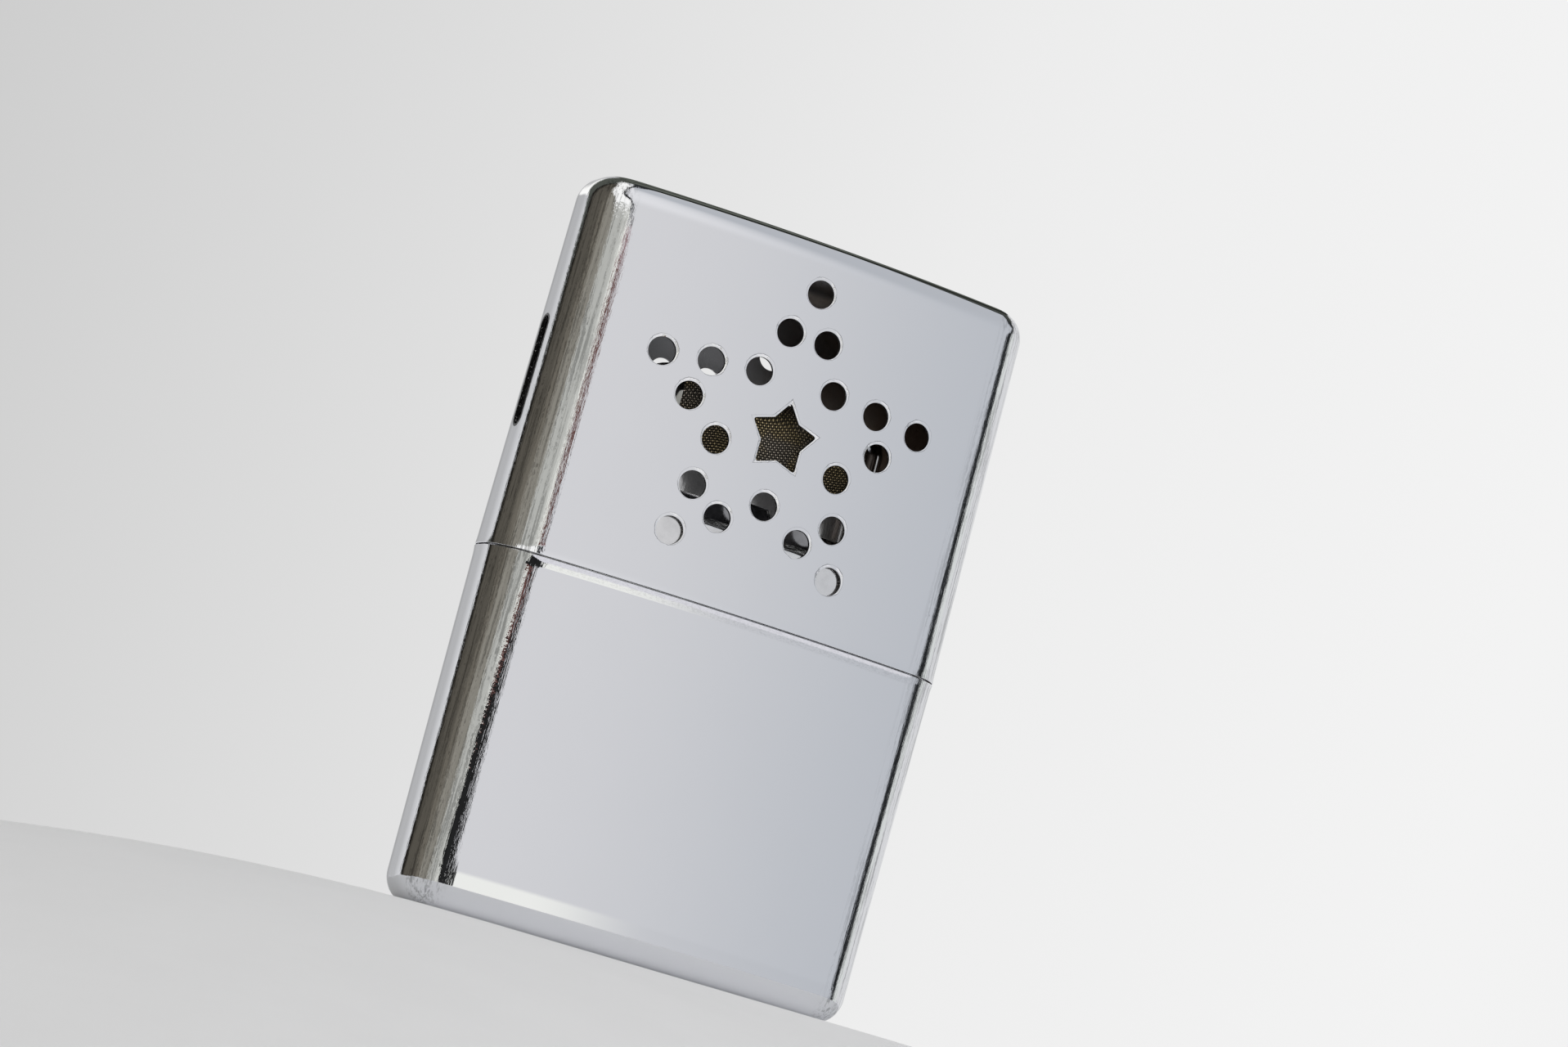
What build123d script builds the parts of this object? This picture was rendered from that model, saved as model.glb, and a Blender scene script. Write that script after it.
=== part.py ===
"""Catalytic pocket hand warmer: a drawn, plated fuel tank, a slip-on vented lid, and between them a
burner that pushes onto the tank's filler neck and holds platinum-treated wool under a wire gauze hood.

Millimetres, +Z up. The origin is the centre of the tank's flat base, the front face looks along -Y,
and the case is widest along X.
"""
import math
import os

from build123d import *

# ---- driving dimensions of the case ----
CASE_WIDTH = 70.0            # at the seam between tank and lid
CASE_DEPTH = 21.0            # front to back at the middle
CASE_HEIGHT = 105.0
SEAM_Z = 50.5                # lid rim
FACE_RADIUS = 157.0          # bow of the front and back faces
SIDE_FLAT = 1.0              # half length of the straight stretch in the middle of each narrow side
SHEET = 0.5                  # drawn sheet thickness
DRAFT = 0.6                  # degrees that the walls lean in from the seam towards each end
END_ROUND = 4.2              # edges round the top of the lid and the tank's base
LID_RIM_ROUND = 0.3          # outer edges that meet at the seam
TANK_RIM_ROUND = 0.45

# ---- collar and filler neck ----
COLLAR_TOP = 61.8
COLLAR_BOTTOM = 44.0
COLLAR_ROUND = 0.8
LID_CLEARANCE = 0.2          # between collar and the inside of the lid
NECK_LENGTH = 32.0           # outside, along X
NECK_DEPTH = 10.0
NECK_FLANGE = 3.0            # width of the flange that holds the neck from below
SOLDER = 0.8                 # leg of the solder fillets
SCREEN_THICKNESS = 0.3
PAD_THICKNESS = 1.6
WADDING_GAP = 0.3

# ---- vents in the lid ----
STAR_Z = 76.1                # centre of the hole pattern in the front face
BACK_DROP = 0.6              # how much lower the back face is punched
STAR_POINTS = 5
RING_TIP_RADIUS = 21.05      # twenty round holes follow the outline of a five-pointed star
RING_CORNER_RADIUS = 9.9
HOLE_RADIUS = 2.0
STAR_TIP_RADIUS = 5.2        # star-shaped hole in the middle
STAR_CORNER_RADIUS = 3.2
STAR_TIP_ROUND = 0.45
SLOT_LENGTH = 15.8           # air slot in each narrow side
SLOT_WIDTH = 2.5
SLOT_Z = 75.7

# ---- burner ----
BURNER_SHEET = 0.4
SOCKET_CLEARANCE = 0.1       # between the neck and the burner's socket
SOCKET_BOTTOM = 65.3
NOTCH_WIDTH = 6.4            # air notch in the socket's lower edge, front and back
NOTCH_HEIGHT = 1.4
NOTCH_ROUND = 0.9
TRAY_Z = 69.6                # underside of the tray, where the burner sits on the neck
TRAY_RIM = 1.6               # height of its rim
HOOD_LENGTH = 38.0           # outside of the burner's top, along X
HOOD_DEPTH = 12.4
HOOD_TOP = 82.8
HOOD_ROUND = 3.0             # its top edges
CAP_REACH = 14.4             # the metal end caps cover everything further out than this
GAUZE_THICKNESS = 0.5
GAUZE_TUCK = 1.6             # how far the gauze runs in under each end cap
PLATE_HOLE_RADIUS = 1.5      # in the burner's floor and in the screen at the foot of the neck
PLATE_HOLE_PITCH = 4.4
DECK_HOLES = 7
SCREEN_HOLES = 6
RIVET_RADIUS = 0.4
RIVET_PROUD = 0.3            # how far each end stands off the metal
RIVET_ANGLE = 45.0           # from the hood's length, round its rounded ends


# ---- case sections ----
def case_section(width, depth, face_radius):
    """Closed outline at the seam: two bowed faces, four rounded corners, two short flats."""
    centre_y = face_radius - depth / 2
    corner = (face_radius**2 - (width / 2) ** 2 - (centre_y + SIDE_FLAT) ** 2) / (2 * face_radius - width)
    corner_x = width / 2 - corner
    lean = math.atan2(corner_x, centre_y + SIDE_FLAT)
    meet = (face_radius * math.sin(lean), centre_y - face_radius * math.cos(lean))
    turn = (math.pi / 2 - lean) / 2
    middle = (corner_x + corner * math.cos(turn), -SIDE_FLAT - corner * math.sin(turn))

    def corner_arc(sx, sy):
        return ThreePointArc((sx * meet[0], sy * -meet[1]), (sx * middle[0], sy * -middle[1]),
                             (sx * width / 2, sy * SIDE_FLAT))

    def face_arc(sy):
        return ThreePointArc((-meet[0], sy * -meet[1]), (0, sy * depth / 2), (meet[0], sy * -meet[1]))

    edges = [face_arc(-1), face_arc(1)]
    edges += [corner_arc(sx, sy) for sx in (-1, 1) for sy in (-1, 1)]
    edges += [Line((sx * width / 2, -SIDE_FLAT), (sx * width / 2, SIDE_FLAT)) for sx in (-1, 1)]
    return Pos(0, 0, SEAM_Z) * make_face(Wire.combine(edges)[0])


def slab(z_from, z_to):
    """Everything between two heights."""
    return Pos(0, 0, z_from) * Box(2 * CASE_WIDTH, 2 * CASE_DEPTH, z_to - z_from,
                                   align=(Align.CENTER, Align.CENTER, Align.MIN))


def drafted_wall(end_z, inset):
    """Solid from the seam up or down to end_z, brought in by inset, leaning in towards its end."""
    at_seam = case_section(CASE_WIDTH - 2 * inset, CASE_DEPTH - 2 * inset, FACE_RADIUS - inset)
    return extrude(at_seam, end_z - SEAM_Z, taper=DRAFT)


def closed_end(end_z, inset):
    """Form of the lid or of the tank, brought in by inset, with its end at end_z rounded over."""
    return round_outline(drafted_wall(end_z, inset), end_z, END_ROUND - inset)


def lid_form(inset):
    return closed_end(CASE_HEIGHT - inset, inset)


def tank_form(inset):
    return closed_end(inset, inset)


def flat_outline(solid, z):
    """Outer edges of the flat face at height z."""
    face = [f for f in solid.faces() if abs(f.center().Z - z) < 1e-3 and f.normal_at().Z**2 > 0.99][0]
    return face.outer_wire().edges()


def round_outline(solid, z, radius):
    return fillet(flat_outline(solid, z), radius)


# ---- vents ----
def star_points(tip, corner):
    return [(radius * math.sin(math.pi * k / STAR_POINTS), radius * math.cos(math.pi * k / STAR_POINTS))
            for k, radius in enumerate((tip, corner) * STAR_POINTS)]


def ring_holes():
    """Hole centres in X and Z from the pattern's centre: tips, corners, and the middle of each side."""
    outline = star_points(RING_TIP_RADIUS, RING_CORNER_RADIUS)
    following = outline[1:] + outline[:1]
    return outline + [((a[0] + b[0]) / 2, (a[1] + b[1]) / 2) for a, b in zip(outline, following)]


def punched(outline, z, depth):
    """A cutter with the given outline, from the middle of the case out through the front face."""
    return extrude(Plane(origin=(0, 0, z), x_dir=(1, 0, 0), z_dir=(0, -1, 0)) * outline, depth)


def star_outline():
    outline = make_face(Polyline(*star_points(STAR_TIP_RADIUS, STAR_CORNER_RADIUS), close=True))
    tips = [v for v in outline.vertices() if math.hypot(v.X, v.Y) > (STAR_TIP_RADIUS + STAR_CORNER_RADIUS) / 2]
    return fillet(tips, STAR_TIP_ROUND)


def vent_cutters():
    """Twenty round holes and the star for the front face, and the same a little lower for the back."""
    outlines = [Pos(x, z) * Circle(HOLE_RADIUS) for x, z in ring_holes()] + [star_outline()]
    front = [punched(outline, STAR_Z, CASE_DEPTH) for outline in outlines]
    back = [punched(outline, STAR_Z - BACK_DROP, -CASE_DEPTH) for outline in outlines]
    return front + back


def slot_cutter():
    plane = Plane(origin=(0, 0, SLOT_Z), x_dir=(0, 1, 0), z_dir=(1, 0, 0))
    return extrude(plane * (Rot(0, 0, 90) * SlotOverall(SLOT_LENGTH, SLOT_WIDTH)), CASE_WIDTH, both=True)


# ---- oblong parts of the neck and burner ----
def oblong(length, depth, z_from, z_to):
    return extrude(Pos(0, 0, z_from) * SlotOverall(length, depth), z_to - z_from)


def hole_row(count, z):
    """Cutters for a straight row of round holes through a thin plate at height z."""
    first = -PLATE_HOLE_PITCH * (count - 1) / 2
    return [Pos(first + k * PLATE_HOLE_PITCH, 0, z) * Cylinder(PLATE_HOLE_RADIUS, 1.0) for k in range(count)]


# ---- tank ----
def lid_shell():
    shell = round_outline(lid_form(0), SEAM_Z, LID_RIM_ROUND) - lid_form(SHEET)
    return shell - vent_cutters() - slot_cutter()


def tank_shell():
    return round_outline(tank_form(0), SEAM_Z, TANK_RIM_ROUND) - tank_form(SHEET)


def tank_collar():
    """Inverted cup: its skirt is soldered inside the tank shell, its top plate carries the neck."""
    inset = SHEET + LID_CLEARANCE
    step = slab(SEAM_Z - SOLDER, SEAM_Z)
    skirt = drafted_wall(COLLAR_BOTTOM, SHEET) - drafted_wall(COLLAR_BOTTOM, SHEET + inset)
    skirt -= (drafted_wall(COLLAR_BOTTOM, SHEET) - drafted_wall(COLLAR_BOTTOM, inset)) & step
    cup = round_outline(drafted_wall(COLLAR_TOP, inset), COLLAR_TOP, COLLAR_ROUND)
    hollow = drafted_wall(COLLAR_TOP - SHEET, SHEET + inset)
    hollow = round_outline(hollow, COLLAR_TOP - SHEET, COLLAR_ROUND - SHEET)
    return skirt + (cup - hollow) - oblong(NECK_LENGTH, NECK_DEPTH, COLLAR_TOP - 2 * SHEET, COLLAR_TOP)


def collar_solder():
    """Ring of solder that fills the step between the tank shell's edge and the collar."""
    bottom = SEAM_Z - SOLDER
    return drafted_wall(bottom, SHEET) - drafted_wall(bottom, SHEET + LID_CLEARANCE)


def filler_neck():
    plate_bottom = COLLAR_TOP - SHEET
    tube = oblong(NECK_LENGTH, NECK_DEPTH, plate_bottom - SHEET, TRAY_Z)
    flange = oblong(NECK_LENGTH + 2 * NECK_FLANGE, NECK_DEPTH + 2 * NECK_FLANGE,
                    plate_bottom - SHEET, plate_bottom)
    return tube + flange - oblong(NECK_LENGTH - 2 * SHEET, NECK_DEPTH - 2 * SHEET,
                                  plate_bottom - SHEET, TRAY_Z)


def neck_solder():
    """Sloped bead of solder round the foot of the neck."""
    foot = Pos(0, 0, COLLAR_TOP) * SlotOverall(NECK_LENGTH + 2 * SOLDER, NECK_DEPTH + 2 * SOLDER)
    crown = Pos(0, 0, COLLAR_TOP + SOLDER) * SlotOverall(NECK_LENGTH + SOLDER / 2, NECK_DEPTH + SOLDER / 2)
    return loft([foot, crown], ruled=True) - oblong(NECK_LENGTH, NECK_DEPTH, COLLAR_TOP, COLLAR_TOP + SOLDER)


def neck_screen():
    """Perforated plate at the foot of the neck, which keeps the wadding down when the tank is filled."""
    bottom = COLLAR_TOP - 2 * SHEET
    plate = oblong(NECK_LENGTH - 2 * SHEET, NECK_DEPTH - 2 * SHEET, bottom, bottom + SCREEN_THICKNESS)
    return plate - hole_row(SCREEN_HOLES, bottom)


def wick_pad():
    top = COLLAR_TOP - 2 * SHEET
    return oblong(NECK_LENGTH + 2 * NECK_FLANGE, NECK_DEPTH + 2 * NECK_FLANGE, top - PAD_THICKNESS, top)


def tank_wadding():
    """Cotton that fills the tank, up to the wick pad; bevelled below to lie in the rounded base."""
    top = COLLAR_TOP - 2 * SHEET - PAD_THICKNESS
    in_collar = 2 * SHEET + LID_CLEARANCE + WADDING_GAP
    loose = SHEET + WADDING_GAP
    body = drafted_wall(loose, loose) & slab(0, COLLAR_BOTTOM - WADDING_GAP)
    body = chamfer(flat_outline(body, loose), END_ROUND - loose)
    return body + drafted_wall(END_ROUND, in_collar) + drafted_wall(top, in_collar)


# ---- burner ----
def burner_socket():
    """Sleeve that pushes onto the neck, with an air notch in its lower edge, front and back."""
    length, depth = NECK_LENGTH + 2 * SOCKET_CLEARANCE, NECK_DEPTH + 2 * SOCKET_CLEARANCE
    sleeve = oblong(length + 2 * BURNER_SHEET, depth + 2 * BURNER_SHEET, SOCKET_BOTTOM, TRAY_Z)
    sleeve -= oblong(length, depth, SOCKET_BOTTOM, TRAY_Z)
    notch = RectangleRounded(NOTCH_WIDTH, 2 * NOTCH_HEIGHT, NOTCH_ROUND)
    return sleeve - [punched(notch, SOCKET_BOTTOM, reach) for reach in (NECK_DEPTH, -NECK_DEPTH)]


def burner_tray():
    """Shallow rimmed tray brazed on top of the socket, open in its middle."""
    tray = oblong(HOOD_LENGTH + 2 * BURNER_SHEET, HOOD_DEPTH + 2 * BURNER_SHEET, TRAY_Z,
                  TRAY_Z + BURNER_SHEET + TRAY_RIM)
    tray -= oblong(HOOD_LENGTH, HOOD_DEPTH, TRAY_Z + BURNER_SHEET, TRAY_Z + BURNER_SHEET + TRAY_RIM)
    tray -= oblong(NECK_LENGTH - 2 * SHEET, NECK_DEPTH - 2 * SHEET, TRAY_Z, TRAY_Z + BURNER_SHEET)
    return tray - rivet_bars()


def hood_form(inset):
    """Form of the burner's top, an oblong loaf with rounded top edges, brought in by inset."""
    loaf = oblong(HOOD_LENGTH - 2 * inset, HOOD_DEPTH - 2 * inset, TRAY_Z + BURNER_SHEET, HOOD_TOP - inset)
    return round_outline(loaf, HOOD_TOP - inset, HOOD_ROUND - inset)


def end_cap(side):
    """Metal cap over the rounded end of the hood, at +X for side 1 and at -X for side -1."""
    reach = Pos(side * (CAP_REACH + HOOD_LENGTH / 2), 0, HOOD_TOP) * Box(HOOD_LENGTH, CASE_DEPTH, 2 * CASE_DEPTH)
    return ((hood_form(0) - hood_form(BURNER_SHEET)) & reach) - rivet_bars()


def burner_deck():
    """Perforated floor under the wool."""
    bottom = TRAY_Z + BURNER_SHEET
    inside = 2 * (BURNER_SHEET + GAUZE_THICKNESS)
    plate = oblong(HOOD_LENGTH - inside, HOOD_DEPTH - inside, bottom, bottom + BURNER_SHEET)
    return plate - hole_row(DECK_HOLES, bottom)


def gauze_hood():
    """Wire gauze that runs up the front, over the top and down the back, tucked under the end caps."""
    span = Pos(0, 0, HOOD_TOP) * Box(2 * (CAP_REACH + GAUZE_TUCK), CASE_DEPTH, 2 * CASE_DEPTH)
    return (hood_form(BURNER_SHEET) - hood_form(BURNER_SHEET + GAUZE_THICKNESS)) & span


def catalyst_wool():
    bottom = TRAY_Z + 2 * BURNER_SHEET
    return hood_form(BURNER_SHEET + GAUZE_THICKNESS) & slab(bottom, HOOD_TOP)


def rivet_bars():
    """Four round bars through the tray's rim and the end caps, square to their rounded ends."""
    middle_z = TRAY_Z + BURNER_SHEET + TRAY_RIM / 2
    bar = Rot(0, 90, 0) * Cylinder(RIVET_RADIUS, 2 * (BURNER_SHEET + RIVET_PROUD))
    outwards = Pos(HOOD_DEPTH / 2, 0, middle_z) * bar
    return [Pos(math.copysign((HOOD_LENGTH - HOOD_DEPTH) / 2, math.cos(math.radians(turn))), 0, 0)
            * Rot(0, 0, turn) * outwards
            for turn in (RIVET_ANGLE, 180 - RIVET_ANGLE, 180 + RIVET_ANGLE, -RIVET_ANGLE)]


def cap_rivets():
    """Rivets that hold the end caps to the tray's rim, a little proud outside and inside."""
    return Compound(children=[chamfer(bar.edges().filter_by(GeomType.CIRCLE), RIVET_PROUD / 3)
                              for bar in rivet_bars()])


PARTS = {
    "lid_shell": lid_shell,
    "tank_shell": tank_shell,
    "tank_collar": tank_collar,
    "collar_solder": collar_solder,
    "filler_neck": filler_neck,
    "neck_solder": neck_solder,
    "neck_screen": neck_screen,
    "wick_pad": wick_pad,
    "tank_wadding": tank_wadding,
    "burner_socket": burner_socket,
    "burner_tray": burner_tray,
    "burner_deck": burner_deck,
    "end_cap_left": lambda: end_cap(-1),
    "end_cap_right": lambda: end_cap(1),
    "gauze_hood": gauze_hood,
    "catalyst_wool": catalyst_wool,
    "cap_rivets": cap_rivets,
}

os.makedirs("parts", exist_ok=True)
for name, make in PARTS.items():
    export_step(make(), f"parts/{name}.step")
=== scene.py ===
import math

import bmesh
import bpy
from mathutils import Matrix, Vector


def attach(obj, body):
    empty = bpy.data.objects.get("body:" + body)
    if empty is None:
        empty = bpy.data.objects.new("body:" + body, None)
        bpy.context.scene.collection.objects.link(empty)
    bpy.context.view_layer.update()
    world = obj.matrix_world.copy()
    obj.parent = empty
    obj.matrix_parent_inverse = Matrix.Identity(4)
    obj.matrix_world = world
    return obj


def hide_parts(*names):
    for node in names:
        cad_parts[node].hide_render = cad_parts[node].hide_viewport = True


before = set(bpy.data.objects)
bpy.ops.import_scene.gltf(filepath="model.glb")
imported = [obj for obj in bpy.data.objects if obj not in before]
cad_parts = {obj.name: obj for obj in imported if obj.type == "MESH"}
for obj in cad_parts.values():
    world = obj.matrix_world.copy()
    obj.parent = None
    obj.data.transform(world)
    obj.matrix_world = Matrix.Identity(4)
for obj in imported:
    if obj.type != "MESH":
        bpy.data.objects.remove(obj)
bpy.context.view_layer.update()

bl_info = {
    "name": "Catalytic Hand Warmer",
    "version": (1, 0, 0),
    "blender": (4, 5, 0),
    "location": "View3D > Sidebar > Hand Warmer",
    "description": "Builds a pocket hand warmer: plated case, filler neck and catalytic burner",
    "category": "Add Mesh",
}

MM = 0.001

# Stations round a ring: the same count in each quarter of every outline.
FACE_STEPS = 27
BLEND_STEPS = 6
CORNER_STEPS = 27
FLAT_STEPS = 2
QUARTER = FACE_STEPS + BLEND_STEPS + CORNER_STEPS + FLAT_STEPS
STATIONS = 4 * QUARTER
BLEND_TURN = 4               # degrees over which the bowed face tightens into the corner
BEND_STEPS = 1800            # short arcs that add up to a quarter of the bowed outline

# Other counts and places.
EDGE_STEPS = 4
ROLL_STEPS = 9
WALL_STEPS = 12
ROUND_STEPS = 14
VENT_STEPS = 72
VENT_STAR_CORNERS = 10
SLOT_STEPS = 23
HALF_POINT = math.radians(36)    # half the turn from one tip of the vent pattern to the next
TURNS_AHEAD = 1000.5         # keeps a turn above zero before its fraction is taken
SHARP_EDGE = math.radians(60)
HOOD_FOLD = 78.6 * MM        # where the hood's upright sides end
NOTCH_TOP = 67.4 * MM        # above the air notches in the burner's socket
WEAVE_FROM = 70 * MM         # height at which the weave's own measure starts
FLOOR_SIZE = 1.8             # metres
FLOOR_STEPS = 240
FLOOR_BOW = 0.4              # metres; radius at which the floor falls away
# The camera's own axes.
CAMERA_RIGHT = Vector((0.8849498, -0.38529385, 0.26155785))
CAMERA_DOWN = Vector((0.29309752, 0.02436297, -0.95577209))
CAMERA_FORWARD = Vector((0.36188078, 0.92247228, 0.13448867))


# ---- Settings ----
def length(name, description, millimetres):
    return bpy.props.FloatProperty(name=name, description=description, default=millimetres * MM,
                                   unit="LENGTH", subtype="DISTANCE", precision=5)


def colour(name, description, rgb):
    return bpy.props.FloatVectorProperty(name=name, description=description, default=rgb, size=3,
                                         subtype="COLOR", min=0, max=1)


class CaseSettings(bpy.types.PropertyGroup):
    """Sizes of the lid and the tank."""
    width: length("Width", "Across the case at the seam", 70)
    depth: length("Depth", "Front to back at the seam", 21)
    height: length("Height", "From the base to the top of the lid", 105)
    seam: length("Seam", "Height of the joint between tank and lid", 50.5)
    face_radius: length("Face radius", "Bow of the front and back faces", 157)
    side_flat: length("Side flat", "Half length of the straight stretch in each narrow side", 1)
    sheet: length("Sheet", "Thickness of the drawn sheet", 0.5)
    end_round: length("End rounding", "Radius round the top and the base", 4.2)
    draft: bpy.props.FloatProperty(name="Draft", description="Lean of the walls towards each end",
                                   default=math.radians(0.6), subtype="ANGLE")
    hole_radius: length("Vent radius", "Round vents in both faces", 2)
    star_height: length("Vent centre", "Height of the middle of the vent pattern in front", 76.1)
    back_drop: length("Back drop", "How much lower the back face is punched", 0.6)
    ring_tip: length("Pattern tips", "From the pattern's centre to its outermost vents", 21.05)
    ring_corner: length("Pattern corners", "From the pattern's centre to its innermost vents", 9.9)
    star_tip: length("Star tips", "Star-shaped vent, centre to tip", 5.2)
    star_corner: length("Star corners", "Star-shaped vent, centre to inner corner", 3.2)
    slot_length: length("Slot length", "Air slot in each narrow side", 15.8)
    slot_width: length("Slot width", "Air slot in each narrow side", 2.5)
    slot_height: length("Slot centre", "Height of the middle of the air slot", 75.7)


class InsideSettings(bpy.types.PropertyGroup):
    """Sizes of the collar, the neck and the burner."""
    collar_top: length("Collar top", "Height of the plate round the neck", 61.8)
    collar_bottom: length("Collar bottom", "Lower edge of the collar's skirt", 44)
    clearance: length("Clearance", "Between collar and lid", 0.2)
    neck_length: length("Neck length", "Outside of the filler neck, along X", 32)
    neck_depth: length("Neck depth", "Outside of the filler neck, along Y", 10)
    neck_top: length("Neck top", "Where the burner sits", 69.6)
    socket_bottom: length("Socket bottom", "Lower edge of the burner's socket", 65.3)
    hood_length: length("Hood length", "Outside of the burner's top, along X", 38)
    hood_depth: length("Hood depth", "Outside of the burner's top, along Y", 12.4)
    hood_top: length("Hood top", "Highest point of the burner", 82.8)
    burner_sheet: length("Burner sheet", "Thickness of the burner's metal", 0.4)
    cap_reach: length("Cap edge", "From the middle to the edge of each end cap", 14.4)
    gauze_reach: length("Gauze edge", "From the middle to the gauze's hidden edge", 16)
    weave: length("Weave", "Distance between the wires of the gauze", 0.37)


class FinishSettings(bpy.types.PropertyGroup):
    """Colours of the metals and fibres."""
    plate: colour("Plating", "Mirror plating of lid and tank", (0.8, 0.81, 0.84))
    lining: colour("Lining", "Unpolished inner side of lid and tank", (0.42, 0.42, 0.43))
    # Painted shade: this colour darkens the inner side of lid and tank towards +X.
    painted_side_shade: colour("Stain", "Heat stain on the inner side", (0.36, 0.3, 0.26))
    collar: colour("Collar", "Bright metal under the lid", (0.8, 0.8, 0.81))
    solder: colour("Solder", "Dull solder", (0.5, 0.5, 0.49))
    burner: colour("Burner metal", "Plated metal dulled by heat", (0.8, 0.8, 0.81))
    neck: colour("Filler neck", "Drawn metal, tarnished", (0.3, 0.3, 0.31))
    caps: colour("End caps", "Polished metal darkened by heat", (0.46, 0.46, 0.47))
    screen: colour("Perforated plate", "Matt, heat tinted", (0.3, 0.29, 0.27))
    wire: colour("Gauze wire", "Golden wire dulled by heat", (0.34, 0.27, 0.15))
    wire_dull: colour("Tarnished wire", "Wire gone grey-brown", (0.27, 0.24, 0.2))
    wire_shade: colour("Gauze shade", "Between the wires", (0.018, 0.015, 0.011))
    brass: colour("Rivets", "Dull brass", (0.5, 0.38, 0.2))
    wool: colour("Catalyst wool", "Dark treated fibre", (0.06, 0.055, 0.05))
    felt: colour("Felt", "Pressed wick pad", (0.55, 0.5, 0.41))
    cotton: colour("Cotton", "Wadding in the tank", (0.8, 0.78, 0.72))


class StageSettings(bpy.types.PropertyGroup):
    """Camera, floor and light."""
    camera: bpy.props.FloatVectorProperty(name="Camera", description="Camera position", size=3,
                                          default=(-0.26205, -0.68732, -0.03385), subtype="TRANSLATION")
    lens: bpy.props.FloatProperty(name="Lens", description="Focal length in millimetres", default=121.443)
    floor: colour("Floor", "Pale floor", (0.8, 0.8, 0.81))


class HandWarmerSettings(bpy.types.PropertyGroup):
    """All settings of the hand warmer."""
    case: bpy.props.PointerProperty(type=CaseSettings)
    inside: bpy.props.PointerProperty(type=InsideSettings)
    finish: bpy.props.PointerProperty(type=FinishSettings)
    stage: bpy.props.PointerProperty(type=StageSettings)


def settings():
    return bpy.context.scene.hand_warmer


# ---- Outlines ----
# A quarter outline is QUARTER + 1 points (x, y, nx, ny), from the middle of the front to the middle of
# the right side; nx and ny point outwards.
def smooth(t):
    """0 below 0, 1 above 1, smooth between."""
    t = min(max(t, 0), 1)
    return t * t * (3 - 2 * t)


def bend(face_radius, corner_radius, face_turn):
    """Points (x, y) of a quarter whose radius tightens smoothly from the face to the corner."""
    x = y = 0
    rows = [(x, y)]
    step = math.pi / 2 / BEND_STEPS
    for k in range(BEND_STEPS):
        turn = (k + 0.5) * step
        t = smooth((math.degrees(turn) - face_turn) / BLEND_TURN)
        radius = math.exp(math.log(face_radius) * (1 - t) + math.log(corner_radius) * t)
        x += radius * math.cos(turn) * step
        y += radius * math.sin(turn) * step
        rows.append((x, y))
    return rows


def solve_bend(half_width, half_depth, face_radius):
    """Face turn in degrees and corner radius that give the outline its width and depth."""
    turn, corner = 9.7, 6.2 * MM
    more_turn, more_corner = 1e-3, 1e-6

    def miss(a, c):
        x, y = bend(face_radius, c, a)[-1]
        return x - half_width, y - half_depth

    for _ in range(12):
        fx, fy = miss(turn, corner)
        ax, ay = miss(turn + more_turn, corner)
        cx, cy = miss(turn, corner + more_corner)
        j11, j21 = (ax - fx) / more_turn, (ay - fy) / more_turn
        j12, j22 = (cx - fx) / more_corner, (cy - fy) / more_corner
        det = j11 * j22 - j12 * j21
        turn -= (fx * j22 - fy * j12) / det
        corner -= (fy * j11 - fx * j21) / det
    return turn, corner


def whole(quarter):
    """All stations of a ring from its first quarter."""
    back = [(x, -y, nx, -ny) for x, y, nx, ny in quarter]
    left_back = [(-x, y, -nx, ny) for x, y, nx, ny in back]
    left_front = [(-x, y, -nx, ny) for x, y, nx, ny in quarter]
    return quarter[:-1] + back[:0:-1] + left_back[:-1] + left_front[:0:-1]


def case_ring():
    """Outline of the case at the seam: bowed faces, tighter corners and a short flat in each side."""
    case = settings().case
    face_turn, corner = solve_bend(case.width / 2, case.depth / 2 - case.side_flat, case.face_radius)
    rows = bend(case.face_radius, corner, face_turn)

    def at(turn):
        f = turn / (math.pi / 2) * (len(rows) - 1)
        i = min(int(f), len(rows) - 2)
        u = f - i
        x = rows[i][0] * (1 - u) + rows[i + 1][0] * u
        y = rows[i][1] * (1 - u) + rows[i + 1][1] * u
        return x, y - case.depth / 2, math.sin(turn), -math.cos(turn)

    a1, a2 = math.radians(face_turn), math.radians(face_turn + BLEND_TURN)
    turns = [a1 * k / FACE_STEPS for k in range(FACE_STEPS)]
    turns += [a1 + (a2 - a1) * k / BLEND_STEPS for k in range(BLEND_STEPS)]
    turns += [a2 + (math.pi / 2 - a2) * k / CORNER_STEPS for k in range(CORNER_STEPS)]
    points = [at(t) for t in turns]
    flat = case.side_flat
    points += [(case.width / 2, -flat * (1 - k / FLAT_STEPS), 1, 0) for k in range(FLAT_STEPS + 1)]
    return whole(points)


def oblong_ring(long, deep):
    """Outline with straight sides and round ends."""
    r = deep / 2
    straight = long / 2 - r
    points = [(straight * k / FACE_STEPS, -r, 0, -1) for k in range(FACE_STEPS)]
    rest = QUARTER - FACE_STEPS
    for k in range(rest + 1):
        a = math.pi / 2 * k / rest
        points.append((straight + r * math.sin(a), -r * math.cos(a), math.sin(a), -math.cos(a)))
    return whole(points)


# ---- Modelling ----
def new_ring(name):
    """Starts a piece: a ring of edges in edit mode, numbered by station."""
    if bpy.context.object and bpy.context.object.mode != "OBJECT":
        bpy.ops.object.mode_set(mode="OBJECT")
    bpy.ops.object.select_all(action="DESELECT")
    bpy.ops.mesh.primitive_circle_add(vertices=STATIONS, radius=10 * MM, enter_editmode=True)
    piece = bpy.context.object
    piece.name = name
    piece.data.name = name
    mesh = bmesh.from_edit_mesh(piece.data)
    station = mesh.verts.layers.int.new("station")
    for k, vert in enumerate(mesh.verts):
        vert[station] = k
    bmesh.update_edit_mesh(piece.data)
    return piece


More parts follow.
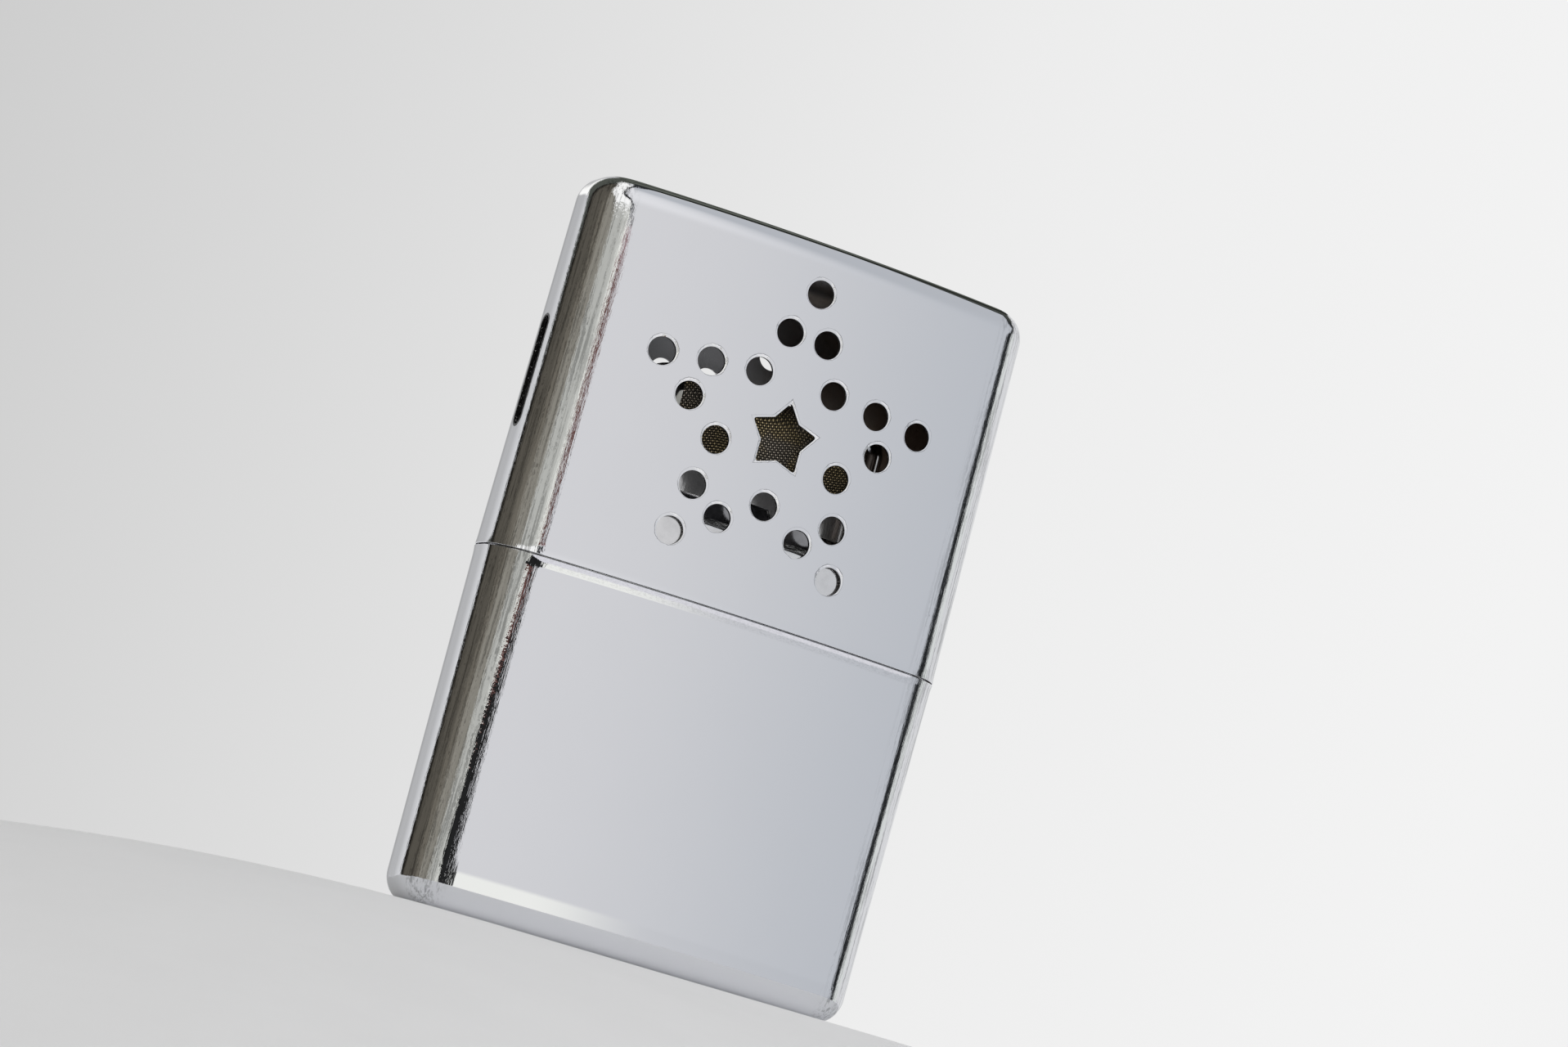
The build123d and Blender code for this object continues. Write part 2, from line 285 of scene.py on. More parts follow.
def place_ring(piece, ring, inset, z):
    """Puts the selected ring on an outline brought in by inset; z is a height or a height for each point."""
    mesh = bmesh.from_edit_mesh(piece.data)
    station = mesh.verts.layers.int["station"]
    for vert in mesh.verts:
        if vert.select:
            x, y, nx, ny = ring[vert[station]]
            height = z(x, y) if callable(z) else z
            vert.co = (x - nx * inset, y - ny * inset, height)
    bmesh.update_edit_mesh(piece.data)


def draw_up(name, profile, close=True, first=False):
    """Extrudes a ring through (outline, inset, height) stages; close fills the last one, first the first."""
    piece = new_ring(name)
    for k, (ring, inset, z) in enumerate(profile):
        if k:
            bpy.ops.mesh.extrude_region_move()
        place_ring(piece, ring, inset, z)
        if k == 0 and first:
            bpy.ops.mesh.edge_face_add()
            bpy.ops.mesh.select_mode(type="EDGE")
    if close:
        bpy.ops.mesh.edge_face_add()
    return piece


def to_object(piece):
    if piece.mode == "EDIT":
        bpy.ops.object.mode_set(mode="OBJECT")
    bpy.ops.object.select_all(action="DESELECT")
    piece.select_set(True)
    bpy.context.view_layer.objects.active = piece


def edit(piece, action="SELECT"):
    """Opens the piece in edit mode with all of it selected; DESELECT for none of it."""
    to_object(piece)
    bpy.ops.object.mode_set(mode="EDIT")
    bpy.ops.mesh.select_all(action=action)


def outwards(piece):
    """Merges doubles and turns every face outwards."""
    edit(piece)
    bpy.ops.mesh.remove_doubles(threshold=1e-6)
    bpy.ops.mesh.normals_make_consistent(inside=False)
    bpy.ops.object.mode_set(mode="OBJECT")


def apply(piece, kind, **values):
    """Adds one modifier and applies it."""
    to_object(piece)
    modifier = piece.modifiers.new(kind.title(), kind)
    for key, value in values.items():
        setattr(modifier, key, value)
    bpy.ops.object.modifier_apply(modifier=modifier.name)


def thicken(piece, thickness, lining=0):
    """Gives a surface its wall, inwards; lining is 1 where the inner side has the second finish."""
    outwards(piece)
    apply(piece, "SOLIDIFY", thickness=thickness, offset=-1, use_even_offset=True, use_quality_normals=True,
          material_offset=lining)


def cut_off(piece, x, way):
    """Cuts off what lies beyond x on the side that way points to, and leaves the cut open."""
    edit(piece)
    bpy.ops.mesh.bisect(plane_co=(x, 0, 0), plane_no=(way, 0, 0), clear_outer=True)
    to_object(piece)


def soften(piece, wanted, width):
    """Bevels the sharp edges for which wanted(edge) is true."""
    edit(piece, "DESELECT")
    bpy.ops.mesh.select_mode(type="EDGE")
    mesh = bmesh.from_edit_mesh(piece.data)
    picked = [edge for edge in mesh.edges if sharp(edge) and wanted(edge)]
    for edge in picked:
        edge.select_set(True)
    bmesh.update_edit_mesh(piece.data)
    if picked:
        bpy.ops.mesh.bevel(offset=width, segments=2, profile=0.5, clamp_overlap=True)
    to_object(piece)


def sharp(edge):
    return len(edge.link_faces) == 2 and edge.calc_face_angle(0) > SHARP_EDGE


def finish_piece(piece, look, body, node, angle=30):
    """Shading, finish and body, and hides the construction node that the piece stands for."""
    to_object(piece)
    bpy.ops.object.shade_smooth_by_angle(angle=math.radians(angle))
    if not piece.data.materials:
        piece.data.materials.append(finish(look))
    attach(piece, body)
    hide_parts(node)


def ripple(piece, amount, size):
    """Pushes the surface in and out by soft noise."""
    texture = bpy.data.textures.new(piece.name + "_ripple", "CLOUDS")
    texture.noise_scale = size
    texture.noise_depth = 2
    apply(piece, "DISPLACE", texture=texture, strength=amount, mid_level=0.5, texture_coords="LOCAL")


# ---- Materials ----
def arithmetic(operation, swapped=False):
    """A Python operator that adds a Math node."""
    def act(self, other):
        values = (other, self) if swapped else (self, other)
        return self.sheet.math(operation, *values)
    return act


class Num:
    """A number in a node tree; Python's operators add the Math nodes."""

    def __init__(self, sheet, socket):
        self.sheet = sheet
        self.socket = socket

    def math(self, operation, *others):
        return self.sheet.math(operation, self, *others)

    __add__ = arithmetic("ADD")
    __radd__ = arithmetic("ADD")
    __sub__ = arithmetic("SUBTRACT")
    __rsub__ = arithmetic("SUBTRACT", swapped=True)
    __mul__ = arithmetic("MULTIPLY")
    __rmul__ = arithmetic("MULTIPLY")
    __truediv__ = arithmetic("DIVIDE")
    __rtruediv__ = arithmetic("DIVIDE", swapped=True)
    __pow__ = arithmetic("POWER")

    def __neg__(self):
        return self.math("MULTIPLY", -1)

    def between(self, low, high):
        """0 below low, 1 above high, smooth between; low may be the larger."""
        flipped = low > high
        a, b = (high, low) if flipped else (low, high)
        node = self.sheet.node("ShaderNodeMapRange", {"interpolation_type": "SMOOTHSTEP"},
                               {"Value": self, "From Min": a, "From Max": b})
        mask = node.out("Result")
        return 1 - mask if flipped else mask

    def through(self, points):
        """Follows straight runs through (at, value) points."""
        level = points[0][1]
        for (a, u), (b, v) in zip(points, points[1:]):
            if u != v:
                run = self.sheet.node("ShaderNodeMapRange", None, {
                    "Value": self, "From Min": a, "From Max": b, "To Min": 0, "To Max": v - u})
                level = run.out("Result") + level
        return level


class Made:
    """A node just added."""

    def __init__(self, sheet, node):
        self.sheet = sheet
        self.node = node

    def out(self, key):
        return Num(self.sheet, self.node.outputs[key])


class Sheet:
    """A material's or the world's node tree."""

    def __init__(self, owner):
        self.owner = owner
        owner.use_nodes = True
        self.tree = owner.node_tree
        self.tree.nodes.clear()

    def node(self, kind, choices=None, inputs=None):
        """Adds a node, makes its choices first, then fills its sockets with values or links."""
        node = self.tree.nodes.new(kind)
        for key, value in (choices or {}).items():
            setattr(node, key, value)
        pairs = enumerate(inputs) if isinstance(inputs, list) else (inputs or {}).items()
        for key, value in pairs:
            self.feed(node.inputs[key], value)
        return Made(self, node)

    def feed(self, socket, value):
        if isinstance(value, Num):
            self.tree.links.new(value.socket, socket)
        elif socket.type == "RGBA" and len(value) == 3:
            socket.default_value = (*value, 1)
        else:
            socket.default_value = value

    def math(self, operation, *values):
        return self.node("ShaderNodeMath", {"operation": operation}, list(values)).out(0)

    def split(self, vector):
        node = self.node("ShaderNodeSeparateXYZ", inputs=[vector])
        return node.out("X"), node.out("Y"), node.out("Z")

    def join(self, a, b, c=0):
        return self.node("ShaderNodeCombineXYZ", inputs=[a, b, c]).out("Vector")

    def dim(self, colour, amount):
        inputs = {"Vector": colour, "Scale": amount}
        return self.node("ShaderNodeVectorMath", {"operation": "SCALE"}, inputs).out("Vector")

    def ramp(self, factor, stops):
        """Colour along a row of (place, colour) stops."""
        node = self.node("ShaderNodeValToRGB", inputs={"Fac": factor})
        steps = node.node.color_ramp
        for k, (at, rgb) in enumerate(stops):
            element = steps.elements[k] if k < 2 else steps.elements.new(at)
            element.position = at
            element.color = (*rgb, 1)
        return node.out("Color")

    def noise(self, vector, scale, detail=2, rough=0.5, stretch=None):
        """Soft noise; a stretch below 1 draws it out that way."""
        if stretch:
            scaled = self.node("ShaderNodeVectorMath", {"operation": "MULTIPLY"}, [vector, stretch])
            vector = scaled.out("Vector")
        inputs = {"Vector": vector, "Scale": scale, "Detail": detail, "Roughness": rough}
        return self.node("ShaderNodeTexNoise", {"noise_dimensions": "3D"}, inputs).out("Fac")

    def mix(self, factor, first, second):
        node = self.node("ShaderNodeMix", {"data_type": "RGBA"})
        self.feed(node.node.inputs[0], factor)
        self.feed(node.node.inputs[6], first)
        self.feed(node.node.inputs[7], second)
        return Num(self, node.node.outputs[2])

    def bump(self, height, distance, normal=None):
        """Normal of a surface raised by height times distance."""
        inputs = {"Height": height, "Distance": distance}
        if normal is not None:
            inputs["Normal"] = normal
        return self.node("ShaderNodeBump", inputs=inputs).out("Normal")

    def surface(self, **inputs):
        """Leads a principled surface to the output and returns the finished material."""
        named = {key.replace("_", " "): value for key, value in inputs.items()}
        shader = self.node("ShaderNodeBsdfPrincipled", inputs=named).out("BSDF")
        self.node("ShaderNodeOutputMaterial", inputs={"Surface": shader})
        return self.owner


def new_sheet(name):
    """Node tree of a new material, and the place on the object in metres."""
    sheet = Sheet(bpy.data.materials.new(name))
    return sheet, sheet.node("ShaderNodeTexCoord").out("Object")


def shade(rgb, factor):
    """A colour made darker or lighter."""
    return [min(1, c * factor) for c in rgb]


def fold_pattern(x, z):
    """Folds the five points of the vent pattern onto one half point; across it and up it in millimetres."""
    across = x / MM
    up = (z - settings().case.star_height) / MM
    radius = (across * across + up * up) ** 0.5
    turn = across.math("ARCTAN2", up) / (2 * HALF_POINT) + TURNS_AHEAD
    fold = (turn.math("FRACT") - 0.5).math("ABSOLUTE") * (2 * HALF_POINT)
    return radius * fold.math("SINE"), radius * fold.math("COSINE")


def vent_edge_distance(x, z):
    """Distance in millimetres from the rim of the nearest round vent."""
    case = settings().case
    u, v = fold_pattern(x, z)
    tip = (0, case.ring_tip / MM)
    corner = (case.ring_corner / MM * math.sin(HALF_POINT), case.ring_corner / MM * math.cos(HALF_POINT))
    middle = ((tip[0] + corner[0]) / 2, (tip[1] + corner[1]) / 2)
    nearest = None
    for cu, cv in (tip, corner, middle):
        du, dv = u - cu, v - cv
        away = (du * du + dv * dv) ** 0.5
        nearest = away if nearest is None else nearest.math("MINIMUM", away)
    return nearest - case.hole_radius / MM


def star_edge_distance(x, z):
    """Distance in millimetres from the edge of the star-shaped vent."""
    case = settings().case
    u, v = fold_pattern(x, z)
    tip, corner = case.star_tip / MM, case.star_corner / MM
    cu, cv = corner * math.sin(HALF_POINT), corner * math.cos(HALF_POINT)
    along = math.hypot(cu, cv - tip)
    return u * ((tip - cv) / along) + (v - tip) * (cu / along)


def slot_edge_distance(y, z):
    """Distance in millimetres from the edge of the air slot."""
    case = settings().case
    half = (case.slot_length - case.slot_width) / 2 / MM
    up = ((z - case.slot_height) / MM).math("ABSOLUTE") - half
    up = up.math("MAXIMUM", 0)
    side = y / MM
    return (side * side + up * up) ** 0.5 - case.slot_width / 2 / MM


def plated_material(name, vents):
    """Mirror plating with faint lengthwise polishing lines, stronger round the narrow sides."""
    finish = settings().finish
    case = settings().case
    sheet, where = new_sheet(name)
    x, y, z = sheet.split(where)
    lines = sheet.noise(where, 6500, 2, 0.6, (1, 1, 0.1))
    grain = sheet.noise(where, 4200, 2, 0.5, (1, 1, 0.35))
    corner = case.width / 2 - case.depth / 3
    narrow = x.math("ABSOLUTE").between(corner, corner + 3 * MM)
    drawn_lines = sheet.noise(where, 3000, 3, 0.7, (1, 1, 0.03))
    ridges = sheet.noise(where, 2100, 2, 0.6, (1, 1, 0.55))
    height = (lines + grain * 0.6) * (narrow * 0.0035 + 0.00022)
    height = height + (drawn_lines * 0.014 + ridges * 0.011) * narrow
    flared = (1 - (z - case.seam).math("ABSOLUTE") / (2 * MM)).math("MAXIMUM", 0)
    flared = flared * flared * (1 - narrow) * (0.11 + ridges * 0.016)
    normal = sheet.bump(height + flared, 1 * MM)
    smudge = sheet.noise(where, 90, 3, 0.6)
    rough = 0.008 + (lines.between(0.5, 0.8) * 0.02 + smudge.between(0.5, 0.8) * 0.02) * (1 - narrow)
    tone = sheet.mix(smudge.between(0.4, 0.7) * 0.25, finish.plate[:], shade(finish.plate, 0.98))
    # Painted reflection: dark wavering streaks painted into the colour along the rounded corners.
    waver = ridges * (0.35 * MM)
    painted_corner_streaks = sheet.noise(sheet.join(x + waver, y + waver, z * 0.025), 2300, 4, 0.75).between(0.47, 0.6)
    rounded = narrow * y.math("ABSOLUTE").between(3.4 * MM, 4.2 * MM)
    tone = sheet.mix(painted_corner_streaks * rounded * 0.62, tone, shade(finish.plate, 0.25))
    if vents:
        facing = y.math("ABSOLUTE").between(3 * MM, 4.5 * MM)
        away = vent_edge_distance(x, z).math("MINIMUM", star_edge_distance(x, z))
        slot = slot_edge_distance(y, z)
        drawn = vent_edge_distance(x - 0.06 * MM, z - 0.2 * MM)
        drawn = drawn.math("MINIMUM", star_edge_distance(x - 0.03 * MM, z - 0.08 * MM))
        burr = sheet.noise(where, 1400, 4, 0.7)
        patchy = sheet.noise(where, 420, 1, 0.5).between(0.4, 0.6)
        worn = drawn + (burr - 0.5) * 0.4
        dish = worn.between(0.26, -0.08) * (0.015 + patchy * 0.055) * facing
        normal = sheet.bump(-dish, 1 * MM, normal=normal)
        # Painted shade: a dark broken ring painted into the colour round each vent.
        painted_rim_shade = worn.between(0.18, 0.24) * worn.between(0.33, 0.27) * facing * (0.25 + patchy * 0.6)
        # Painted highlight: a bright crescent painted just above each vent, and a faint bright rim at every
        # vent's edge.
        painted_crescent_highlight = worn.between(0.25, 0.18) * (0.1 + patchy * 0.6)
        painted_rim_highlight = (away.between(0.1, 0.03) * 0.1).math("MAXIMUM", painted_crescent_highlight) * facing
        tone = sheet.mix(painted_rim_highlight, tone, (0.98, 0.98, 0.99))
        tone = sheet.mix(painted_rim_shade, tone, shade(finish.plate, 0.4))
        # Painted shade: a near-black band painted round each air slot's edge, broken by small painted glints
        # where the plating is left.
        torn = (slot + (burr - 0.5) * 0.25).between(0.42, 0.3) * (1 - facing)
        glint = sheet.noise(where, 4200, 2, 0.6).between(0.6, 0.68)
        tone = sheet.mix(torn * (1 - glint), tone, shade(finish.plate, 0.05))
    else:
        # Painted reflection: grey flecks painted into the colour just under the seam, where the edge flares.
        painted_reflection_flecks = sheet.noise(where, 5200, 3, 0.7, (0.5, 1, 1)).between(0.46, 0.6)
        tone = sheet.mix(painted_reflection_flecks * flared.between(0.002, 0.02) * 0.3, tone, shade(finish.plate, 0.6))
    return sheet.surface(Base_Color=tone, Metallic=1, Roughness=rough, Normal=normal)


def cut_edge_material():
    """Sheared edge of the punched sheet: painted near black as shade, with bright specks painted as glints;
    its bump makes it look torn.
    """
    sheet, where = new_sheet("cut_edge")
    torn = sheet.noise(where, 5200, 3, 0.7)
    painted_glint_specks = sheet.noise(where, 3300, 2, 0.6)
    # Painted shade with painted glints: near black, with bright specks.
    tone = sheet.mix(painted_glint_specks.between(0.6, 0.68), (0.035, 0.035, 0.035), (0.85, 0.85, 0.86))
    normal = sheet.bump(torn, 0.05 * MM)
    return sheet.surface(Base_Color=tone, Metallic=1, Roughness=0.25 + torn * 0.3, Normal=normal)


def lining_material():
    """Dull inner side of the drawn sheet, unpolished, painted darker and browner towards +X as shade, with a
    painted light band just above the vent pattern.
    """
    finish = settings().finish
    sheet, where = new_sheet("dull_lining")
    cloud = sheet.noise(where, 170, 4, 0.6)
    pits = sheet.noise(where, 3800, 3, 0.6)
    x, _, z = sheet.split(where)
    # Painted shade: the colour turns darker and browner towards +X.
    painted_side_shade = (x / (30 * MM) + cloud).between(0.55, 1.25)
    tone = sheet.mix(painted_side_shade, finish.lining[:], finish.painted_side_shade[:])
    case = settings().case
    # Painted reflection: a light band painted into the colour just above the vent pattern; it is also rougher
    # and less metallic.
    painted_light_band = (z - (case.star_height + case.ring_tip + 2.6 * MM)).math("ABSOLUTE").between(1.5 * MM, 0.3 * MM)
    rough = 0.24 + pits * 0.12 + painted_light_band * 0.4
    tone = sheet.mix(painted_light_band, tone, (0.9, 0.82, 0.76))
    normal = sheet.bump(pits * (1 - painted_light_band), 0.008 * MM)
    return sheet.surface(Base_Color=tone, Metallic=1 - painted_light_band * 0.6, Roughness=rough, Normal=normal)


def scratched_material(name, base, rough, dark=0.6, scratch=1, along=(1, 1, 0.02)):
    """Bright or heat-darkened metal with fine scratches."""
    sheet, where = new_sheet(name)
    lines = sheet.noise(where, 9000, 3, 0.65, along)
    broad = sheet.noise(where, 2200, 2, 0.5, along)
    cloud = sheet.noise(where, 260, 3, 0.6)
    height = lines * 0.004 * scratch + broad * 0.004 * scratch
    tone = sheet.mix(cloud.between(0.35, 0.75), base, shade(base, dark))
    worn = rough + lines.between(0.5, 0.8) * 0.18 + cloud.between(0.5, 0.8) * 0.08
    return sheet.surface(Base_Color=tone, Metallic=1, Roughness=worn, Normal=sheet.bump(height, 1 * MM))


def burner_material():
    """Plated metal dulled by heat, with bright hairline scratches up and down, and a painted highlight along
    the socket's lower edge.
    """
    base = settings().finish.burner[:]
    sheet, where = new_sheet("burner_metal")
    _, _, z = sheet.split(where)
    # Painted highlight: a bright line painted along the socket's lower edge.
    edge = z.between(settings().inside.socket_bottom + 0.3 * MM, settings().inside.socket_bottom + 0.16 * MM)
    brushed = sheet.noise(where, 2600, 3, 0.6, (1, 1, 0.04))
    hair = sheet.noise(where, 4200, 1, 0.5, (1, 1, 0.06)).between(0.66, 0.72)
    cloud = sheet.noise(where, 260, 3, 0.6).between(0.35, 0.75)
    tone = sheet.mix(cloud, base, shade(base, 0.75))
    tone = sheet.mix(hair.math("MAXIMUM", edge), tone, (0.98, 0.98, 0.98))
    rough = 0.2 + cloud * 0.08 - hair * 0.1
    normal = sheet.bump(brushed, 0.014 * MM)
    return sheet.surface(Base_Color=tone, Metallic=0.72, Roughness=rough, Normal=normal)


def solder_material():
    """Dull metal that set in wrinkles, with painted highlights on the ridges and painted shade in the
    hollows.
    """
    sheet, where = new_sheet("dull_solder")
    wrinkles = sheet.noise(where, 1500, 4, 0.7, (0.45, 1, 1))
    pits = sheet.noise(where, 4200, 2, 0.5)
    base = settings().finish.solder[:]
    # Painted light and shade: the ridges of the wrinkles get a lit copy of the colour, the hollows a shaded
    # one.
    tone = sheet.mix(wrinkles.between(0.42, 0.6), shade(base, 0.3), shade(base, 1.7))
    normal = sheet.bump(wrinkles * 0.35 + pits * 0.01, 1 * MM)
    return sheet.surface(Base_Color=tone, Metallic=1, Roughness=0.12 + pits * 0.15, Normal=normal)


def gauze_material():
    """Plain weave of round wire, with painted shade between the wires and on the warp; the weft stands out in
    short painted highlights.
    """
    finish = settings().finish
    pitch = settings().inside.weave
    sheet, where = new_sheet("woven_gauze")
    uv = sheet.node("ShaderNodeUVMap", {"uv_map": "weave"}).out("UV")
    pull = sheet.noise(where, 140, 1, 0.5) - 0.5
    wander = sheet.noise(where, 700, 1, 0.5) - 0.5
    along, up, _ = sheet.split(uv)
    u = (along + up * 0.16 + wander * 0.0001) / (pitch * 0.85)
    v = (up - along * 0.16 + pull * 0.0012 + wander * 0.0001) / pitch
    fu = u.math("FRACT") - 0.5
    fv = v.math("FRACT") - 0.5
    odd = ((u.math("FLOOR") + v.math("FLOOR")) * 0.5).math("FRACT")
    sign = odd * 4 - 1
    cu = (fu * math.pi).math("COSINE")
    cv = (fv * math.pi).math("COSINE")
    warp = cu ** 1.6 * 0.5 + sign * cv * 0.5
    weft = cv ** 1.6 * 0.5 - sign * cu * 0.5
    height = warp.math("MAXIMUM", weft)
    gap = height.between(0.66, 0.42)
    painted_stitch_glint = weft.between(0.62, 0.9)
    tarnish = sheet.noise(where, 170, 3, 0.6).between(0.38, 0.58)
    wire = sheet.mix(tarnish, finish.wire[:], finish.wire_dull[:])
    # Painted shade darkens the warp wires; painted highlights brighten the weft in short stitches.
    wire = sheet.mix(warp.between(0.3, 0.6), wire, sheet.dim(wire, 0.55))
    bright = sheet.mix(painted_stitch_glint, wire, sheet.dim(wire, 3.1))
    tone = sheet.mix(gap, bright, finish.wire_shade[:])
    normal = sheet.bump(height * 0.11, 1 * MM)
    return sheet.surface(Base_Color=tone, Metallic=1 - gap * 0.8, Roughness=0.34 + gap * 0.4, Normal=normal)


def fibre_material(name, base, scale, depth, fuzz=0):
    sheet, where = new_sheet(name)
    curl = sheet.noise(where, scale * 0.25, 3, 0.6)
    fibres = sheet.noise(where, scale, 4, 0.7, (1, 0.25, 0.6))
    cross = sheet.noise(where, scale * 1.1, 4, 0.7, (0.25, 1, 0.5))
    height = (fibres + cross) * 0.5 + curl * 0.8
    shaded = fibres.math("MINIMUM", cross).between(0.3, 0.6)
    tone = sheet.mix(shaded, shade(base, 0.6), base)
    return sheet.surface(Base_Color=tone, Roughness=0.95, Normal=sheet.bump(height, depth), Sheen_Weight=fuzz)


def floor_material():
    sheet, where = new_sheet("pale_floor")
    soft = sheet.noise(where, 55, 4, 0.6)
    base = settings().stage.floor[:]
    tone = sheet.mix(soft.between(0.3, 0.7), base, shade(base, 0.985))
    return sheet.surface(Base_Color=tone, Roughness=0.9, Normal=sheet.bump(soft, 0.2 * MM))


FINISHES = {}


def finish(name):
    """Each finish is made once."""
    tones = settings().finish
    makers = {
        "lid": lambda: plated_material("plated_lid", True),
        "tank": lambda: plated_material("plated_tank", False),
        "lining": lining_material,
        "cut edge": cut_edge_material,
        "collar": lambda: scratched_material("bright_collar", tones.collar[:], 0.12, 0.85, 0.6),
        "neck": lambda: scratched_material("drawn_neck", tones.neck[:], 0.08, 0.6, 0.5, (1, 1, 0.1)),
        "burner": burner_material,
        "caps": lambda: scratched_material("cap_metal", tones.caps[:], 0.06, 0.7, 0.5),
        "screen": lambda: scratched_material(
            "perforated_plate", tones.screen[:], 0.35, 0.7, 1, (1, 0.1, 1)),
        "brass": lambda: scratched_material("dull_brass", tones.brass[:], 0.3, 0.6, 0.8, (1, 1, 1)),
        "solder": solder_material,
        "gauze": gauze_material,
        "wool": lambda: fibre_material("catalyst_wool", tones.wool[:], 5200, 0.35 * MM),
        "felt": lambda: fibre_material("wick_felt", tones.felt[:], 4200, 0.12 * MM, 0.3),
        "cotton": lambda: fibre_material("cotton_wadding", tones.cotton[:], 3000, 0.4 * MM, 0.4),
    }
    if name not in FINISHES:
        FINISHES[name] = makers[name]()
    return FINISHES[name]


# ---- Case ----
def wall_profile(ring, end_z, flare_height, flare, gap):
    """Stages from the seam to the flat end: a slightly flared edge, the leaning wall, the rounded end."""
    case = settings().case
    way = 1 if end_z > case.seam else -1
    lean = math.tan(case.draft)
    stages = []
    start = case.seam + way * gap
    edge = 0.13 * MM
    for k in range(EDGE_STEPS):
        turn = math.pi / 2 * k / EDGE_STEPS
        stages.append((edge * (1 - math.sin(turn)), start + way * edge * (1 - math.cos(turn))))
    for k in range(ROLL_STEPS):
        rise = edge + (flare_height - edge) * k / ROLL_STEPS
        stages.append((rise * lean + flare * (1 - (1 - rise / flare_height) ** 2), start + way * rise))
    centre_rise = abs(end_z - start) - case.end_round
    touch = centre_rise + case.end_round * math.sin(case.draft)
    centre_inset = flare + touch * lean + case.end_round * math.cos(case.draft)
    for k in range(WALL_STEPS):
        rise = flare_height + (touch - flare_height) * k / WALL_STEPS
        stages.append((flare + rise * lean, start + way * rise))
    for k in range(ROUND_STEPS + 1):
        turn = case.draft + (math.pi / 2 - case.draft) * k / ROUND_STEPS
        stages.append((centre_inset - case.end_round * math.cos(turn),
                       start + way * (centre_rise + case.end_round * math.sin(turn))))
    return [(ring, inset, z) for inset, z in stages]


def star_points(tip, corner):
    """The ten corners of a star, in X and Z from its middle, from the top tip round."""
    turns = [math.radians(36 * k) for k in range(VENT_STAR_CORNERS)]
    return [(r * math.sin(a), r * math.cos(a)) for a, r in zip(turns, (tip, corner) * 5)]


def star_outline():
    """The star-shaped vent with rounded corners."""
    case = settings().case
    points = [Vector(point) for point in star_points(case.star_tip, case.star_corner)]
    outline = []
    for k, tip in enumerate(points):
        before, after = points[k - 1], points[(k + 1) % VENT_STAR_CORNERS]
        trim = (0.55 if k % 2 == 0 else 0.12) * MM
        a = tip + (before - tip).normalized() * trim
        b = tip + (after - tip).normalized() * trim
        for t in (0, 0.25, 0.5, 0.75, 1):
            outline.append(a * (1 - t) ** 2 + tip * 2 * t * (1 - t) + b * t ** 2)
    return outline


def vent_centres():
    """Middles of the round vents: on the corners of a star and half way between them."""
    case = settings().case
    points = star_points(case.ring_tip, case.ring_corner)
    following = points[1:] + points[:1]
    return points + [((a[0] + b[0]) / 2, (a[1] + b[1]) / 2) for a, b in zip(points, following)]


def prism(name, outline, place, axis, depth):
    """A cutter: a ring of vertices put on an outline, filled and drawn out along an axis."""
    bpy.ops.object.select_all(action="DESELECT")
    bpy.ops.mesh.primitive_circle_add(vertices=len(outline), radius=1 * MM, enter_editmode=True)
    cutter = bpy.context.object
    cutter.name = name
    mesh = bmesh.from_edit_mesh(cutter.data)
    for vert, (u, v) in zip(mesh.verts, outline):
        vert.co = place(u, v)
    bmesh.update_edit_mesh(cutter.data)
    bpy.ops.mesh.edge_face_add()
    bpy.ops.mesh.extrude_region_move(TRANSFORM_OT_translate={"value": axis * depth})
    bpy.ops.object.mode_set(mode="OBJECT")
    outwards(cutter)
    return cutter


def vent_cutters():
    """Everything that is punched out of the lid, joined in one cutter."""
    case = settings().case
    cutters = []
    for way, middle in ((-1, case.star_height), (1, case.star_height - case.back_drop)):
        def on_face(u, v):
            return Vector((u, 0, middle + v))
        outwards_way = Vector((0, way, 0))
        cutters.append(prism("star_punch", star_outline(), on_face, outwards_way, case.depth))
        for x, z in vent_centres():
            turns = [math.tau * k / VENT_STEPS for k in range(VENT_STEPS)]
            circle = [(x + case.hole_radius * math.sin(a), z + case.hole_radius * math.cos(a)) for a in turns]
            cutters.append(prism("vent_punch", circle, on_face, outwards_way, case.depth))
    r = case.slot_width / 2
    straight = case.slot_length / 2 - r
    slot = []
    for start, end in ((0, straight), (math.pi, -straight)):
        for k in range(SLOT_STEPS + 1):
            a = start + math.pi * k / SLOT_STEPS
            slot.append((r * math.cos(a), end + r * math.sin(a)))
    for side in (-1, 1):
        def on_side(u, v):
            return Vector((side * (case.width / 2 - 4 * MM), u, case.slot_height + v))
        cutters.append(prism("slot_punch", slot, on_side, Vector((side, 0, 0)), 8 * MM))
    to_object(cutters[0])
    for cutter in cutters:
        cutter.select_set(True)
    bpy.ops.object.join()
    return cutters[0]


class HANDWARMER_OT_lid(bpy.types.Operator):
    """Slip-on lid: drawn shell with round vents, a star-shaped vent and two air slots"""
    bl_idname = "hand_warmer.lid"
    bl_label = "Lid"

    def execute(self, context):
        case = settings().case
        lid = draw_up("lid", wall_profile(case_ring(), case.height, 1.3 * MM, 0.07 * MM, 0.09 * MM))
        to_object(lid)
        cutter = vent_cutters()
        for name in ("lid", "lining", "cut edge"):
            lid.data.materials.append(finish(name))
            cutter.data.materials.append(finish(name))
        for face in cutter.data.polygons:
            face.material_index = 2     # the cut edge
        thicken(lid, case.sheet, 1)
        apply(lid, "BOOLEAN", operation="DIFFERENCE", solver="EXACT", object=cutter)
        bpy.data.objects.remove(cutter)
        finish_piece(lid, "lid", "lid", "lid_shell")
        return {"FINISHED"}


